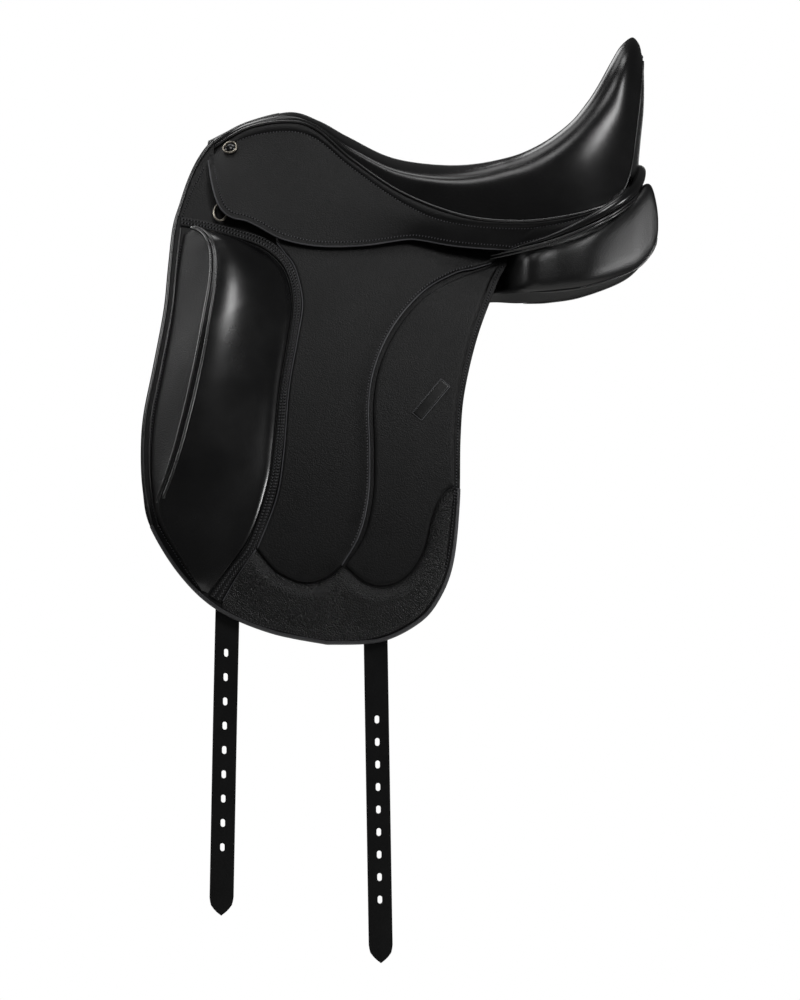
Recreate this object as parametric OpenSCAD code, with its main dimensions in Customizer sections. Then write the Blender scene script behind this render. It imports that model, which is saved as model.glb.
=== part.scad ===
// Dressage saddle, as an assembly of separate leather, foam, wood and metal pieces.
// Frame: +X runs to the rear, -Y to the saddle's left, +Z up. The origin lies on the middle
// plane, below the deepest part of the seat and level with the underside of the panels.
// Lengths are in millimetres. Lists of the left side use [x, w, z], where w is the distance
// out from the middle plane; the right side is its mirror image.

/* [Seat] */
// Length from the front edge of the pommel to the back of the cantle
seat_len = 462; // [440:1:484]
// Height of the deepest part of the seat
dip_h = 140; // [134:1:146]
// Height of the pommel
pommel_h = 197; // [190:1:204]
// Height of the cantle
cantle_h = 276; // [262:1:290]
// Half width of the seat at its widest
seat_half = 129; // [123:1:135]
// Thickness of the seat leather
cover_t = 2.5; // [2:0.1:3]
// Thickness of the seat foam in the middle
foam_t = 18; // [12:1:22]
// Radius of the cord along the seat's lower edge
welt_r = 1.5; // [1:0.1:2]
// Radius of the stuffed roll round the back of the seat
roll_r = 4.8; // [4:0.1:5.2]

/* [Tree] */
// Width of the tree's rails
rail_w = 28; // [24:1:32]
// Thickness of the tree's rails
rail_t = 12; // [10:1:13]
// Length of the head arch along the saddle
head_len = 38; // [34:1:42]
// Thickness of the steel plate under the head
plate_t = 4; // [3:0.5:5]
// Radius of the rivets of the head
rivet_r = 2.5; // [2:0.1:3]

/* [Flap] */
// Width of the flap along its fold
flap_w = 353; // [335:1:370]
// Drop of the flap from its fold to its lowest point
flap_len = 410; // [390:1:430]
// Height of the fixed upper part of the flap
top_h = 86; // [78:1:90]
// Thickness of the flap
flap_t = 5; // [4:0.5:5.5]
// Distance of the fold from the middle plane
fold_w = 108; // [104:1:112]
// Lean of the flap from the vertical at the fold
flap_lean = 27; // [25:0.5:29]
// Radius of the flap's bend
flap_round = 1200; // [1100:10:1300]
// Thickness of the leather panels sewn on the flap
overlay_t = 2.5; // [2:0.1:3]
// Thickness of the sweat flap
sweat_t = 3.5; // [3:0.1:4]
// Greatest height of the knee block above the flap
block_h = 40; // [32:1:44]
// Radius of the cord on the knee block's ridge
ridge_r = 1.8; // [1.4:0.1:2.2]

/* [Skirt] */
// Thickness of the skirt
skirt_t = 3.5; // [3:0.1:4]
// Space between the skirt's lower edge and the flap
skirt_gap = 12; // [11:0.5:14]

/* [Billets] */
// Width of a billet
billet_w = 24.5; // [22:0.5:26]
// Thickness of a billet
billet_t = 4; // [3.5:0.1:4.5]
// Number of holes in a billet
hole_n = 9; // [6:1:9]
// Radius of the rounded ends of a hole
hole_r = 2.5; // [2:0.1:2.8]
// Length of a hole
hole_l = 9; // [8:0.5:11]
// Distance between the holes of the left front billet
pitch_front = 24.8; // [23:0.1:26]
// Distance between the holes of the left rear billet
pitch_rear = 23; // [22:0.1:25]
// Distance between the holes of the right front billet
pitch_front_right = 27.2; // [25:0.1:28]
// Distance between the holes of the right rear billet
pitch_rear_right = 25.2; // [24:0.1:26]

/* [Panels] */
// Half width of the channel between the panels at mid length
channel_half = 37; // [34:1:42]
// Half width over the panels at the rear
panel_half = 148; // [142:1:152]
// Radius of the cord round the rear of a panel
piping_r = 1.8; // [1.4:0.1:2.2]

/* [Stirrup bar] */
// Length of the bar that carries the stirrup leather
bar_len = 67; // [60:1:72]
// Height of the bar
bar_h = 10; // [9:0.5:11]
// Thickness of the bar
bar_t = 8; // [7.6:0.2:9]
// Space for the stirrup leather behind the bar
leather_gap = 9.7; // [8:0.1:10.5]
// Length of the safety catch behind the bar's end
catch_len = 12; // [9:0.5:13]
// Radius of the catch's pin
pin_r = 1.6; // [1.3:0.1:2]

/* [Dee and stud] */
// Width of the dee ring between the middles of its legs
dee_w = 14; // [13:0.5:17]
// Length of the dee ring from its bar to the middle of its bend
dee_l = 21.5; // [19:0.5:23]
// Radius of the dee's wire
dee_r = 1.35; // [1.1:0.05:1.6]
// Radius of the head stud
stud_r = 8; // [7:0.5:9]

/* [Hidden] */
left = -1;
right = 1;
// Clearance between pieces that lie on each other
gap = 0.3;
$fn = 48;

// Fold line of the flap
fold_x = -300;
fold_z = 68;
fold_drop = 6.84;
bend_w = fold_w - flap_round * cos(flap_lean);
bend_d = flap_round * sin(flap_lean);

// Layers under the flap, counted outward from the flap's outer face
billet_out = -flap_t - 3;
billet_in = billet_out - billet_t;
web_t = 1.7;
web_gap = 0.9;
sweat_out = billet_in - 3;
sweat_in = sweat_out - sweat_t;
panel_out = sweat_in - 0.7;

// Stations of the seat: middle [x, z], shoulder [x, w, z] and lower edge [x, w, z]
seat_x = seat_len / 462;
seat_w = seat_half / 129;
seat_rise = dip_h - 140;
// Heights above the dip grow with the pommel in front of it and with the cantle behind it
function seat_z(x, z) = dip_h + (z - 140) * (z < 140 ? 1
    : x < 0 ? (pommel_h - dip_h) / 57 : (cantle_h - dip_h) / 136);
function seat_at(p) = [p[0] * seat_x, p[1] * seat_w, seat_z(p[0], p[2])];
MIDDLE = [[-266, 0, 168], [-229, 0, 185], [-182, 0, 197], [-150, 0, 187], [-118, 0, 169],
    [-70, 0, 145.6], [-10, 0, 136], [45, 0, 134.8], [85, 0, 140.5], [122, 0, 156.5], [146, 0, 181.5],
    [161, 0, 207], [171, 0, 235], [179, 0, 259], [185, 0, 273], [190, 0, 271]];
SHOULDER = [[-266, 24, 166], [-229, 26, 184], [-182, 27, 195.5], [-150, 28, 186], [-118, 31, 168],
    [-70, 42, 145], [-10, 60, 136.8], [43, 72, 143.3], [80, 79, 157.6], [112, 79, 180.6], [131, 72, 204],
    [143, 67, 222.5], [155, 59, 243.5], [168, 45, 264.5], [182, 30, 275.5], [189.5, 24, 270]];
EDGE = [[-264, 48, 155], [-226, 53, 177], [-182, 55, 184], [-152, 58, 175], [-115, 70, 143],
    [-62, 94, 106], [0, 115, 81], [55, 126, 74], [100, 129, 77.5], [135, 125, 85], [160, 117, 95.5],
    [174, 109, 112], [182, 99, 158], [189, 82, 208], [193, 57, 243], [194, 36, 257]];

// Colours as the photograph shows them
black_leather = [0.05, 0.05, 0.055];
grain_leather = [0.08, 0.08, 0.085];
foam_grey = [0.35, 0.35, 0.36];
beech = [0.55, 0.4, 0.25];
steel = [0.55, 0.55, 0.57];
nickel = [0.75, 0.75, 0.77];
web_cloth = [0.75, 0.72, 0.64];

// Curves
function mix(a, b, t) = a + (b - a) * t;
function clip(v, lo, hi) = min(max(v, lo), hi);
function pick(p, i) = p[clip(i, 0, len(p) - 1)];
function bend(a, b, c, d, t) =
    0.5 * (2 * b + (c - a) * t + (2 * a - 5 * b + 4 * c - d) * t * t
    + (3 * b - a - 3 * c + d) * t * t * t);
// Smooth curve through points p with n steps between neighbours
function spline(p, n) = [for (i = [0:len(p) - 2]) for (k = [0:n - 1])
    bend(pick(p, i - 1), p[i], p[i + 1], pick(p, i + 2), k / n), p[len(p) - 1]];
// Point of the smooth curve through p at s, counted in points
function along(p, s) = let (i = clip(floor(s), 0, len(p) - 2))
    bend(pick(p, i - 1), p[i], p[i + 1], pick(p, i + 2), s - i);
function reversed(p) = [for (i = [len(p) - 1:-1:0]) p[i]];
function but_last(p) = [for (i = [0:len(p) - 2]) p[i]];
function unit(v) = v / norm(v);
// Distances along a path, and n even steps of it
function travel(p) = [for (i = 0, s = 0; i < len(p);
    s = s + (i < len(p) - 1 ? norm(p[i + 1] - p[i]) : 0), i = i + 1) s];
function walk(p, c, s) = let (i = [for (k = [0:len(c) - 2]) if (c[k + 1] >= s - 0.001) k][0])
    mix(p[i], p[i + 1], (s - c[i]) / (c[i + 1] - c[i]));
function even(p, n) = let (c = travel(p)) [for (k = [0:n]) walk(p, c, c[len(c) - 1] * k / n)];
// Path moved sideways by t in its own plane
function aside(p, t) = [for (i = [0:len(p) - 1])
    let (v = unit(pick(p, i + 1) - pick(p, i - 1))) p[i] + t * [-v[1], v[0]]];
// Left-hand list entry as a point in space
function to_left(p) = [p[0], -p[1], p[2]];

// Solids from grids and rings of points
function cells(a, b, c, d) = [[a, b, c], [a, c, d]];
// Closed sheet between an outer grid and an inner grid of the same size
module sheet(outer, inner) {
    n = len(outer);
    m = len(outer[0]);
    function o(i, j) = i * m + j;
    function q(i, j) = n * m + i * m + j;
    faces = [
        for (i = [0:n - 2]) for (j = [0:m - 2])
            for (f = cells(o(i, j), o(i + 1, j), o(i + 1, j + 1), o(i, j + 1))) f,
        for (i = [0:n - 2]) for (j = [0:m - 2])
            for (f = cells(q(i, j), q(i, j + 1), q(i + 1, j + 1), q(i + 1, j))) f,
        for (i = [0:n - 2]) for (f = cells(q(i, 0), q(i + 1, 0), o(i + 1, 0), o(i, 0))) f,
        for (i = [0:n - 2]) for (f = cells(o(i, m - 1), o(i + 1, m - 1), q(i + 1, m - 1), q(i, m - 1))) f,
        for (j = [0:m - 2]) for (f = cells(o(0, j), o(0, j + 1), q(0, j + 1), q(0, j))) f,
        for (j = [0:m - 2]) for (f = cells(o(n - 1, j + 1), o(n - 1, j), q(n - 1, j), q(n - 1, j + 1))) f
    ];
    points = [for (r = outer) for (p = r) p, for (r = inner) for (p = r) p];
    polyhedron(points, faces, convexity = 8);
}
// Closed solid through rings of points, with its ends filled
module loft(rings) {
    n = len(rings);
    m = len(rings[0]);
    function at(i, k) = i * m + (k + m) % m;
    function middle(r) = [for (c = [0:2]) [for (p = r) p[c]] * [for (p = r) 1 / m]];
    faces = [
        for (i = [0:n - 2]) for (k = [0:m - 1])
            for (f = cells(at(i, k), at(i, k + 1), at(i + 1, k + 1), at(i + 1, k))) f,
        for (k = [0:m - 1]) [n * m, at(0, k + 1), at(0, k)],
        for (k = [0:m - 1]) [n * m + 1, at(n - 1, k), at(n - 1, k + 1)]
    ];
    points = [for (r = rings) for (p = r) p, middle(rings[0]), middle(rings[n - 1])];
    polyhedron(points, faces, convexity = 8);
}
// Rings of half sizes [a, b] round a path, with the first size level
function ring_at(path, i, size, sides) =
    let (t = unit(pick(path, i + 1) - pick(path, i - 1)),
        u = unit(cross(t, [0, 0, 1])),
        v = cross(u, t))
    [for (k = [0:sides - 1]) let (a = 360 * k / sides + 180 / sides)
        path[i] + size[0] * cos(a) * u + size[1] * sin(a) * v];
module cord(path, r, sides = 8) {
    loft([for (i = [0:len(path) - 1]) ring_at(path, i, [r, r], sides)]);
}
// Outward direction of a grid at one of its points, and the grid moved in by t
function facing(g, i, j) = unit(cross(
    g[min(i + 1, len(g) - 1)][j] - g[max(i - 1, 0)][j],
    g[i][max(j - 1, 0)] - g[i][min(j + 1, len(g[0]) - 1)]));
function inset(g, t) = [for (i = [0:len(g) - 1]) [for (j = [0:len(g[0]) - 1])
    g[i][j] - t * facing(g, i, j)]];

module on_side(side) {
    if (side == left) children();
    else mirror([0, 1, 0]) children();
}

// Flap surface: a round bend about an axis along the fold, then straight down
function lean(d) = asin(clip(sin(flap_lean) - d / flap_round, 0, 0.9));
function flap_out(d) = fold_w + flap_round * (cos(lean(d)) - cos(flap_lean));
function down(x, z) = -((x - fold_x) * sin(fold_drop) + (z - fold_z) * cos(fold_drop));
// Distance out from the middle plane of the flap's layer o at a place of the side view
function hang(x, z, o) = let (d = down(x, z)) flap_out(d) + o / cos(lean(d));
// Place [along, down] on layer o of the flap, in the fold's own frame
function on_flap(p, o) = let (a = lean(p[1]))
    [p[0], -flap_out(p[1]) - o * cos(a), -p[1] + o * sin(a)];
// Places of the flap from percent of its width and length
function flap_at(list) = [for (p = list) [p[0] * flap_w / 100, p[1] * flap_len / 100]];
module at_fold() {
    translate([fold_x, 0, fold_z]) rotate([0, fold_drop, 0]) children();
}
module bend_roller(o) {
    translate([-120, -bend_w, -bend_d]) rotate([0, 90, 0])
        cylinder(r = flap_round + o, h = flap_w + 240, $fn = 360);
}
// Leather draped on the flap's bend between layers a and b, cut to an outline of [along, down]
module draped(outline, a, b) {
    at_fold() intersection() {
        rotate([90, 0, 0]) linear_extrude(height = 420) polygon([for (p = outline) [p[0], -p[1]]]);
        difference() {
            bend_roller(b);
            bend_roller(a);
        }
    }
}

// Outlines on the flap, in percent of its width and length
FLAP_EDGE = [[-0.7, 0], [-0.3, 11], [0.2, 22], [-0.6, 37], [-1.4, 49], [-0.6, 58.5], [1.4, 67.6],
    [4.8, 76], [15, 87], [27, 94.6], [43, 98.8], [60, 100], [75, 97.8], [85.6, 92], [90.7, 85.4],
    [93.4, 76], [93.2, 61], [91.4, 45], [91, 33], [93, 18], [97, 4], [98.9, 0]];
BLOCK_FRONT = [[1, 1.4], [0.8, 11], [1.2, 24], [0.6, 37], [-0.1, 49], [0.6, 58.5], [2.6, 67.6],
    [6, 75.5], [15.6, 85.6], [21, 89.5]];
BLOCK_REAR = [[17.5, 1.4], [27, 3.2], [34, 8], [37.4, 16], [37.6, 25], [37, 38], [37.3, 52], [37, 63],
    [33.5, 77], [24.2, 89.5]];
MID_FRONT = [[21.5, 1.4], [31, 2.6], [37.4, 8.5], [40.4, 16], [40.2, 25], [39.6, 38], [40.6, 54],
    [40.2, 65.5], [36.4, 78.6]];
SCALLOP_FRONT = [[36.4, 78.6], [42.5, 83.4], [50.5, 85.6], [57, 84], [61.4, 80.2]];
SCALLOP_REAR = [[62.4, 80.4], [68.6, 83.8], [74.6, 84.2], [80.6, 81.2], [84.6, 74.8], [86, 66],
    [88, 60], [91.2, 57.4]];
MID_SEAM = [[61.4, 80.2], [65.4, 72], [66.6, 62], [65.4, 51], [63.4, 39], [64, 29], [68, 18.5],
    [75.4, 9], [84, 3.2], [89.4, 1.4]];
REAR_SEAM = [[62.8, 79.4], [66.8, 72], [68, 62], [66.8, 51], [64.8, 39], [65.4, 29], [69.3, 19],
    [76.4, 10], [86.6, 3.4], [90, 1.4]];
REAR_EDGE = [[91.2, 57], [89.6, 45], [89.2, 33], [91, 18], [94.6, 5], [96, 1.4]];
PATCH_FOOT = [[26.8, 91.4], [34, 94.8], [43, 97], [60, 98.2], [74, 96.1], [84, 90.6], [89, 84],
    [91.4, 75.5], [91.4, 61], [91.2, 58]];

// Place and heading of the blank tab, the stirrup bar, the dee and the billets
TAB_MIDDLE = [81.5, 36.5];
tab_turn = 57;
bar_x = -204 * seat_x;
bar_z = 93 + seat_rise;
bar_w = 60.3 + leather_gap;
pin_x = bar_x + bar_len + 8;
DEE_AT = [45.5, -30];
dee_out = 3.8;

// Seat grid: each rib runs from right to left over the shoulders
function rib(s) = let (c = seat_at(along(MIDDLE, s)), h = seat_at(along(SHOULDER, s)),
        e = seat_at(along(EDGE, s)),
        side = [mix(h[0], e[0], 0.5), mix(h[1], e[1], 0.82), mix(h[2], e[2], 0.45)],
        half = spline([[c[0] * 2 - h[0], -h[1], h[2]], c, h, side, e], 3),
        use = [for (i = [3:len(half) - 1]) half[i]])
    [for (p = reversed(use)) p, for (i = [1:len(use) - 1]) to_left(use[i])];
function seat_grid(s0, s1, n) = [for (i = [0:n]) rib(mix(s0, s1, i / n))];
function edge_at(s) = seat_at(along(EDGE, s));

module tree() {
    rail = [[-233, 43, 111], [-200, 40.5, 104], [-160, 40, 95], [-100, 42, 82], [-40, 58, 73],
        [20, 76, 70], [70, 86, 75], [110, 84, 92], [140, 66, 118], [160, 36, 140], [167, 0, 147]];
    run = [for (p = spline(rail, 2)) to_left(seat_at(p))];
    both = [for (p = run) p, for (i = [len(run) - 2:-1:0]) [run[i][0], -run[i][1], run[i][2]]];
    color(beech) difference() {
        union() {
            loft([for (i = [0:len(both) - 1]) ring_at(both, i, [rail_w, rail_t] * 0.7071, 4)]);
            arch(head_outer, head_inner, head_x, head_len);
        }
        rivets(rivet_r + 0.05);
    }
}
// Arch of the head in the cross plane, as [w, z] from the crown down to the points
head_x = seat_x * -266 + gap / 2;
HEAD_OUT = [[0, 158], [24, 154], [42, 140], [55, 116], [68, 90]];
head_t = 13;
// A half curve from the middle plane outward, as the whole curve from right to left
function whole(p) = [for (q = reversed(p)) q, for (i = [1:len(p) - 1]) [-p[i][0], p[i][1]]];
head_outer = whole(spline(HEAD_OUT, 4));
head_inner = aside(head_outer, head_t);
// Plate of the cross plane between an outer and an inner curve
module arch(outer, inner, x, length) {
    translate([x, 0, 0]) rotate([90, 0, 90]) linear_extrude(height = length)
        polygon(concat(outer, reversed(inner)));
}
// Rivets through both legs of the head, square to the legs
module rivets(r) {
    for (side = [left, right]) for (k = [0, 1])
        on_side(side) translate([head_x + head_len * (0.2 + 0.36 * k), -61.5, 103])
            rotate([90 + 26.5, 0, 0]) translate([0, 0, -24]) cylinder(r = r, h = 26);
}
module gullet_plate() {
    outer = aside(head_outer, head_t + 0.1);
    inner = aside(head_outer, head_t + 0.1 + plate_t);
    color(steel) difference() {
        arch(outer, inner, head_x + 2, head_len - 10);
        rivets(rivet_r + 0.05);
    }
}
module gullet_rivets() {
    color(steel) rivets(rivet_r);
}
module seat_webs() {
    reach = 78 * seat_w;
    color(web_cloth) for (x = [0, 30])
        translate([x * seat_x - 12, -reach, 77.9 + seat_rise]) cube([24, 2 * reach, 1.8]);
}
module seat_cover() {
    g = seat_grid(0, 15, 30);
    color(black_leather) sheet(g, inset(g, cover_t));
}
module seat_foam() {
    g = seat_grid(0.5, 10.5, 20);
    n = len(g) - 1;
    m = len(g[0]) - 1;
    inner = [for (i = [0:n]) [for (j = [0:m])
        let (rim = sin(180 * j / m), end = min(1, 0.35 + 2.4 * min(i, n - i) / n))
        g[i][j] - (cover_t + gap + 3 + foam_t * rim * end) * facing(g, i, j)]];
    color(foam_grey) sheet(inset(g, cover_t + gap), inner);
}
module cantle_facing() {
    rows = [for (k = [0:10]) let (e = edge_at(mix(11, 14.7, k / 10)), out = mix(16.5, 1.5, sqrt(k / 10)))
        [for (j = [0:8]) let (v = j / 4 - 1, w = e[1] - 2.9)
            [e[0] + 0.6 + out * (1 - v * v), v * w, e[2] - 1]]];
    back = [for (r = rows) [for (p = r) p - [cover_t, 0, 0]]];
    color(black_leather) sheet(rows, back);
}
ROLL = [[58, 134, 44], [80, 138.5, 50], [105, 140, 58.5], [130, 138, 70.2], [150.5, 132, 82],
    [168.5, 120.5, 94.5], [183, 101, 107.5], [189.2, 71, 118], [193.6, 36, 127.5], [195, 0, 131]];
function roll_at(p) = [p[0] * seat_x, p[1] * seat_w, p[2] + seat_rise];
module cantle_roll() {
    half = [for (p = spline(ROLL, 2)) to_left(roll_at(p))];
    path = [for (p = half) p, for (i = [len(half) - 2:-1:0]) [half[i][0], -half[i][1], half[i][2]]];
    color(black_leather) cord(path, roll_r);
}
module seat_welt(side) {
    path = [for (k = [0:24]) to_left(edge_at(10 * k / 24) + [0, welt_r + 0.7, -0.8])];
    color(black_leather) on_side(side) cord(path, welt_r, 6);
}
// Leather facing over the front of the head, open below for the withers
module pommel_facing() {
    t = 2.5;
    e = edge_at(0);
    top = seat_z(-266, 168);
    outer = spline([[0, top - 1], [24, top - 3], [e[1] - 5, e[2] - 2], [56, 130], [66, 108], [72, 92]], 3);
    inner = spline([[0, 128], [22, 124], [36, 108], [46, 86]], 3);
    color(black_leather) arch(whole(outer), whole(inner), seat_x * -266 - gap - t, t);
}

// Head stud: a domed cap in a raised ring, on a shank through the skirt
STUD_AT = [-243, 153];
stud_lift = 34;
stud_turn = 14;
module at_stud() {
    translate([STUD_AT[0] * seat_x, -skirt_mid(STUD_AT), STUD_AT[1]])
        rotate([90 - stud_lift, 0, -stud_turn]) children();
}
module head_stud(side) {
    color(nickel) on_side(side) at_stud() {
        rotate_extrude() polygon([[0, 0.9], [stud_r - 0.8, 0.9], [stud_r, 1.7], [stud_r - 0.4, 3.1],
            [stud_r - 1.2, 3.4], [stud_r - 1.9, 2.9], [stud_r - 2.2, 2.2], [stud_r * 0.5, 3.3], [0, 3.7]]);
        translate([0, 0, -5]) cylinder(r = 2, h = 6);
    }
}

// Skirt: from the seat's lower edge to a straight fold, and a free lobe below the fold
SKIRT_A = [-266, 141];
SKIRT_B = [53, 46];
skirt_push = [0, 0.9, 0.43] * skirt_t;
function skirt_front() = let (z = SKIRT_A[1])
    [SKIRT_A[0] * seat_x, hang(SKIRT_A[0], z, skirt_t + 1.6), z];
function skirt_rear() = [SKIRT_B[0] * seat_x, 126 * seat_w, SKIRT_B[1]];
function skirt_fold(t) = mix(skirt_front(), skirt_rear(), t);
// Lower edge behind the fold's end, then the lobe's edge as [x, z, stand-off]
SKIRT_TAIL = [[53, 126, 46], [88, 131.5, 55], [129, 131, 72], [146, 126.5, 82], [157, 119.5, 92]];
LOBE = [[-266, 141, 1.6], [-262, 118, 8], [-256.5, 98, 11.5], [-250, 86, 12], [-240, 78.5, 12],
    [-226, 75.5, 12], [-212, 69, 12], [-190, 57, 12], [-165, 50.5, 12], [-138, 48, 12],
    [-100, 49.5, 13], [-60, 55.5, 15], [-43, 55, 17], [-10, 49, 19], [25, 45.6, 21], [51, 44.6, 22]];
function lobe_edge() = [for (p = LOBE)
    [p[0] * seat_x, min(hang(p[0], p[1], p[2] - 12 + skirt_gap + skirt_t), 126 * seat_w), p[1]]];
// Distance out of the skirt's outer face above its fold
function skirt_mid(p) = let (e = edge_at(0.55), t = (p[0] - SKIRT_A[0]) / (SKIRT_B[0] - SKIRT_A[0]),
    f = skirt_fold(t)) mix(e[1] + 1.2, f[1], clip((e[2] - 4 - p[1]) / (e[2] - 4 - f[2]), 0, 1)) + 3.2;
module skirt_top(side) {
    n = 30;
    top = [for (i = [0:n]) edge_at(10 * i / n) + [0, 1.2, -4]];
    low = concat([for (i = [0:20]) skirt_fold(i / 20) + [0, -0.1, 0.25]],
        [for (i = [1:10]) along(SKIRT_TAIL, 4 * i / 10)]);
    low_even = even([for (p = low) [p[0], p[1], p[2]]], n);
    grid = [for (i = [0:n]) [for (j = [0:5]) let (t = j / 5, swell = 2.5 * sin(180 * t))
        to_left(mix(top[i], low_even[i], t) + [0, swell, swell * 0.5])]];
    inner = [for (r = grid) [for (p = r) p + [0, skirt_push[1], -skirt_push[2]]]];
    color(black_leather) on_side(side) difference() {
        sheet(grid, inner);
        at_stud() translate([0, 0, -12]) cylinder(r = 2.1, h = 20);
    }
}
module skirt(side) {
    n = 30;
    low = even(spline(lobe_edge(), 3), n);
    top = even([skirt_fold(0) + [0.5, 0.2, -0.6], skirt_fold(0.985) + [0, 0.1, -0.25]], n);
    grid = [for (i = [0:n]) [for (j = [0:4]) let (t = j / 4, swell = 1.5 * sin(180 * t))
        to_left(mix(top[i] + [0, 0.05, -0.15], low[i] + [0, 0, -1.2], t) + [0, swell, swell * 0.4])]];
    inner = [for (r = grid) [for (p = r) p + [0, skirt_push[1], -skirt_push[2]]]];
    color(black_leather) on_side(side) sheet(grid, inner);
}

// Upper part of the flap, fixed under the skirt, with a window for the stirrup bar
module flap_top(side) {
    edge = concat(
        spline([[-0.7, -0.4], [-0.2, -20], [1.2, -50], [2.6, -74], [4.2, -92], [5.6, -96], [8.4, -88],
            [20, -94], [34, -95], [50, -80], [66, -56], [82, -36], [99.6, -20]], 3), [[99, -0.4]]);
    outline = [for (p = edge) [p[0] * flap_w / 100, p[1] * top_h / 100]];
    color(black_leather) on_side(side) difference() {
        draped(outline, -flap_t, 0);
        translate([bar_x - 16, -140, bar_z - 13]) cube([bar_len + 48, 110, 34]);
    }
}
module flap(side) {
    outline = spline(flap_at(FLAP_EDGE), 3);
    color(black_leather) on_side(side) draped(outline, -flap_t, 0);
}
module flap_mid_panel(side) {
    outline = concat(but_last(spline(flap_at(MID_FRONT), 3)), but_last(spline(flap_at(SCALLOP_FRONT), 3)),
        spline(flap_at(MID_SEAM), 3));
    color(black_leather) on_side(side) draped(outline, gap, gap + overlay_t);
}
module flap_rear_panel(side) {
    outline = concat(spline(flap_at(REAR_SEAM), 3), reversed(spline(flap_at(REAR_EDGE), 3)),
        reversed([for (p = spline(flap_at(SCALLOP_REAR), 3)) p + [0, -1]]));
    color(black_leather) on_side(side) draped(outline, gap, gap + overlay_t);
}
module flap_patch(side) {
    top = concat([for (p = spline(flap_at(SCALLOP_FRONT), 3)) p + [0, 1.2]],
        [for (p = spline(flap_at(SCALLOP_REAR), 3)) p + [0, 1.2]]);
    outline = concat(top, reversed(spline(flap_at(PATCH_FOOT), 3)));
    color(grain_leather) on_side(side) draped(outline, gap, gap + overlay_t);
}
// Bound edge along the foot of the flap
module flap_binding(side) {
    edge = [for (p = spline(flap_at([for (i = [8:17]) FLAP_EDGE[i]]), 3)) p];
    outline = concat(aside(edge, -0.4), reversed(aside(edge, -5)));
    color(black_leather) on_side(side) draped(outline, gap, gap + overlay_t * 0.7);
}
module flap_tab(side) {
    c = flap_at([TAB_MIDDLE])[0];
    corner = [for (i = [-1, 1]) for (k = [-1, 1]) [i * 23, (i == k ? 1 : -1) * 6]];
    outline = [for (p = corner) c + [p[0] * cos(tab_turn) - p[1] * sin(tab_turn),
        -p[0] * sin(tab_turn) - p[1] * cos(tab_turn)]];
    color(grain_leather) on_side(side) draped(outline, overlay_t + 2 * gap, overlay_t + 2 * gap + 0.8);
}

// Knee block: a stuffed wedge with a steep front strip and a ridge
function block_row(v) = [along(flap_at(BLOCK_FRONT), v * 9), along(flap_at(BLOCK_REAR), v * 9)];
// Share of the row where the ridge lies, and the height of the row
function ridge_at(v) = clip(0.36 - 0.36 * pow(max(0, v - 0.1) / 0.62, 1.6), 0.06, 0.36);
function row_h(v) = block_h * (v < 0.1 ? mix(0.5, 0.86, sin(90 * v / 0.1))
    : v < 0.3 ? mix(0.86, 1, sin(90 * (v - 0.1) / 0.2)) : mix(1, 0.14, pow((v - 0.3) / 0.7, 1.15)));
function block_up(u, v) = let (r = ridge_at(v), h = row_h(v))
    u < r ? mix(2.5, 0.9 * h, u / r)
    : let (t = (u - r) / (1 - r))
        2.5 + max(0, 0.9 * h - 2.5) * pow(cos(90 * t), 0.9) + 0.14 * h * sin(180 * min(1, t * 1.2));
function block_cols(v) = let (r = ridge_at(v)) [0, r * 0.5, r, for (k = [1:7]) mix(r, 1, k / 7)];
function block_point(u, v, o) = let (e = block_row(v)) on_flap(mix(e[0], e[1], u), o);
module knee_block(side) {
    n = 20;
    top = [for (j = [0:9]) [for (i = [0:n]) let (v = i / n, u = block_cols(v)[j])
        block_point(u, v, gap + block_up(u, v))]];
    foot = [for (j = [0:9]) [for (i = [0:n]) let (v = i / n, u = block_cols(v)[j]) block_point(u, v, gap)]];
    color(black_leather) on_side(side) at_fold() sheet(top, foot);
}
module block_piping(side) {
    path = [for (i = [0:18]) let (v = mix(0.02, 0.72, i / 18), u = ridge_at(v))
        block_point(u - 0.012, v, gap + block_up(u, v) + ridge_r + 0.4)];
    color(black_leather) on_side(side) at_fold() cord(path, ridge_r, 6);
}
module sweat_flap(side) {
    edge = spline(flap_at(FLAP_EDGE), 3);
    outline = concat([for (p = edge) [p[0] * 0.88 + flap_w * 0.06, p[1] * 0.955]],
        [[flap_w * 0.9, -12], [flap_w * 0.08, -12]]);
    color(black_leather) on_side(side) draped(outline, sweat_in, sweat_out);
}

// Billets: straps curved under the flap and hanging straight below it
function billet_front(side) = side == left ? [-241, -344, 1.1, -641.5, -373, pitch_front, 84]
    : [-258.2, -356.3, 1.1, -641.5, -388.1, pitch_front_right, 84];
function billet_rear(side) = side == left ? [-89, -366, -0.95, -690, -441, pitch_rear, 62]
    : [-91.4, -380.4, -0.95, -690, -462.7, pitch_rear_right, 62];
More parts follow.
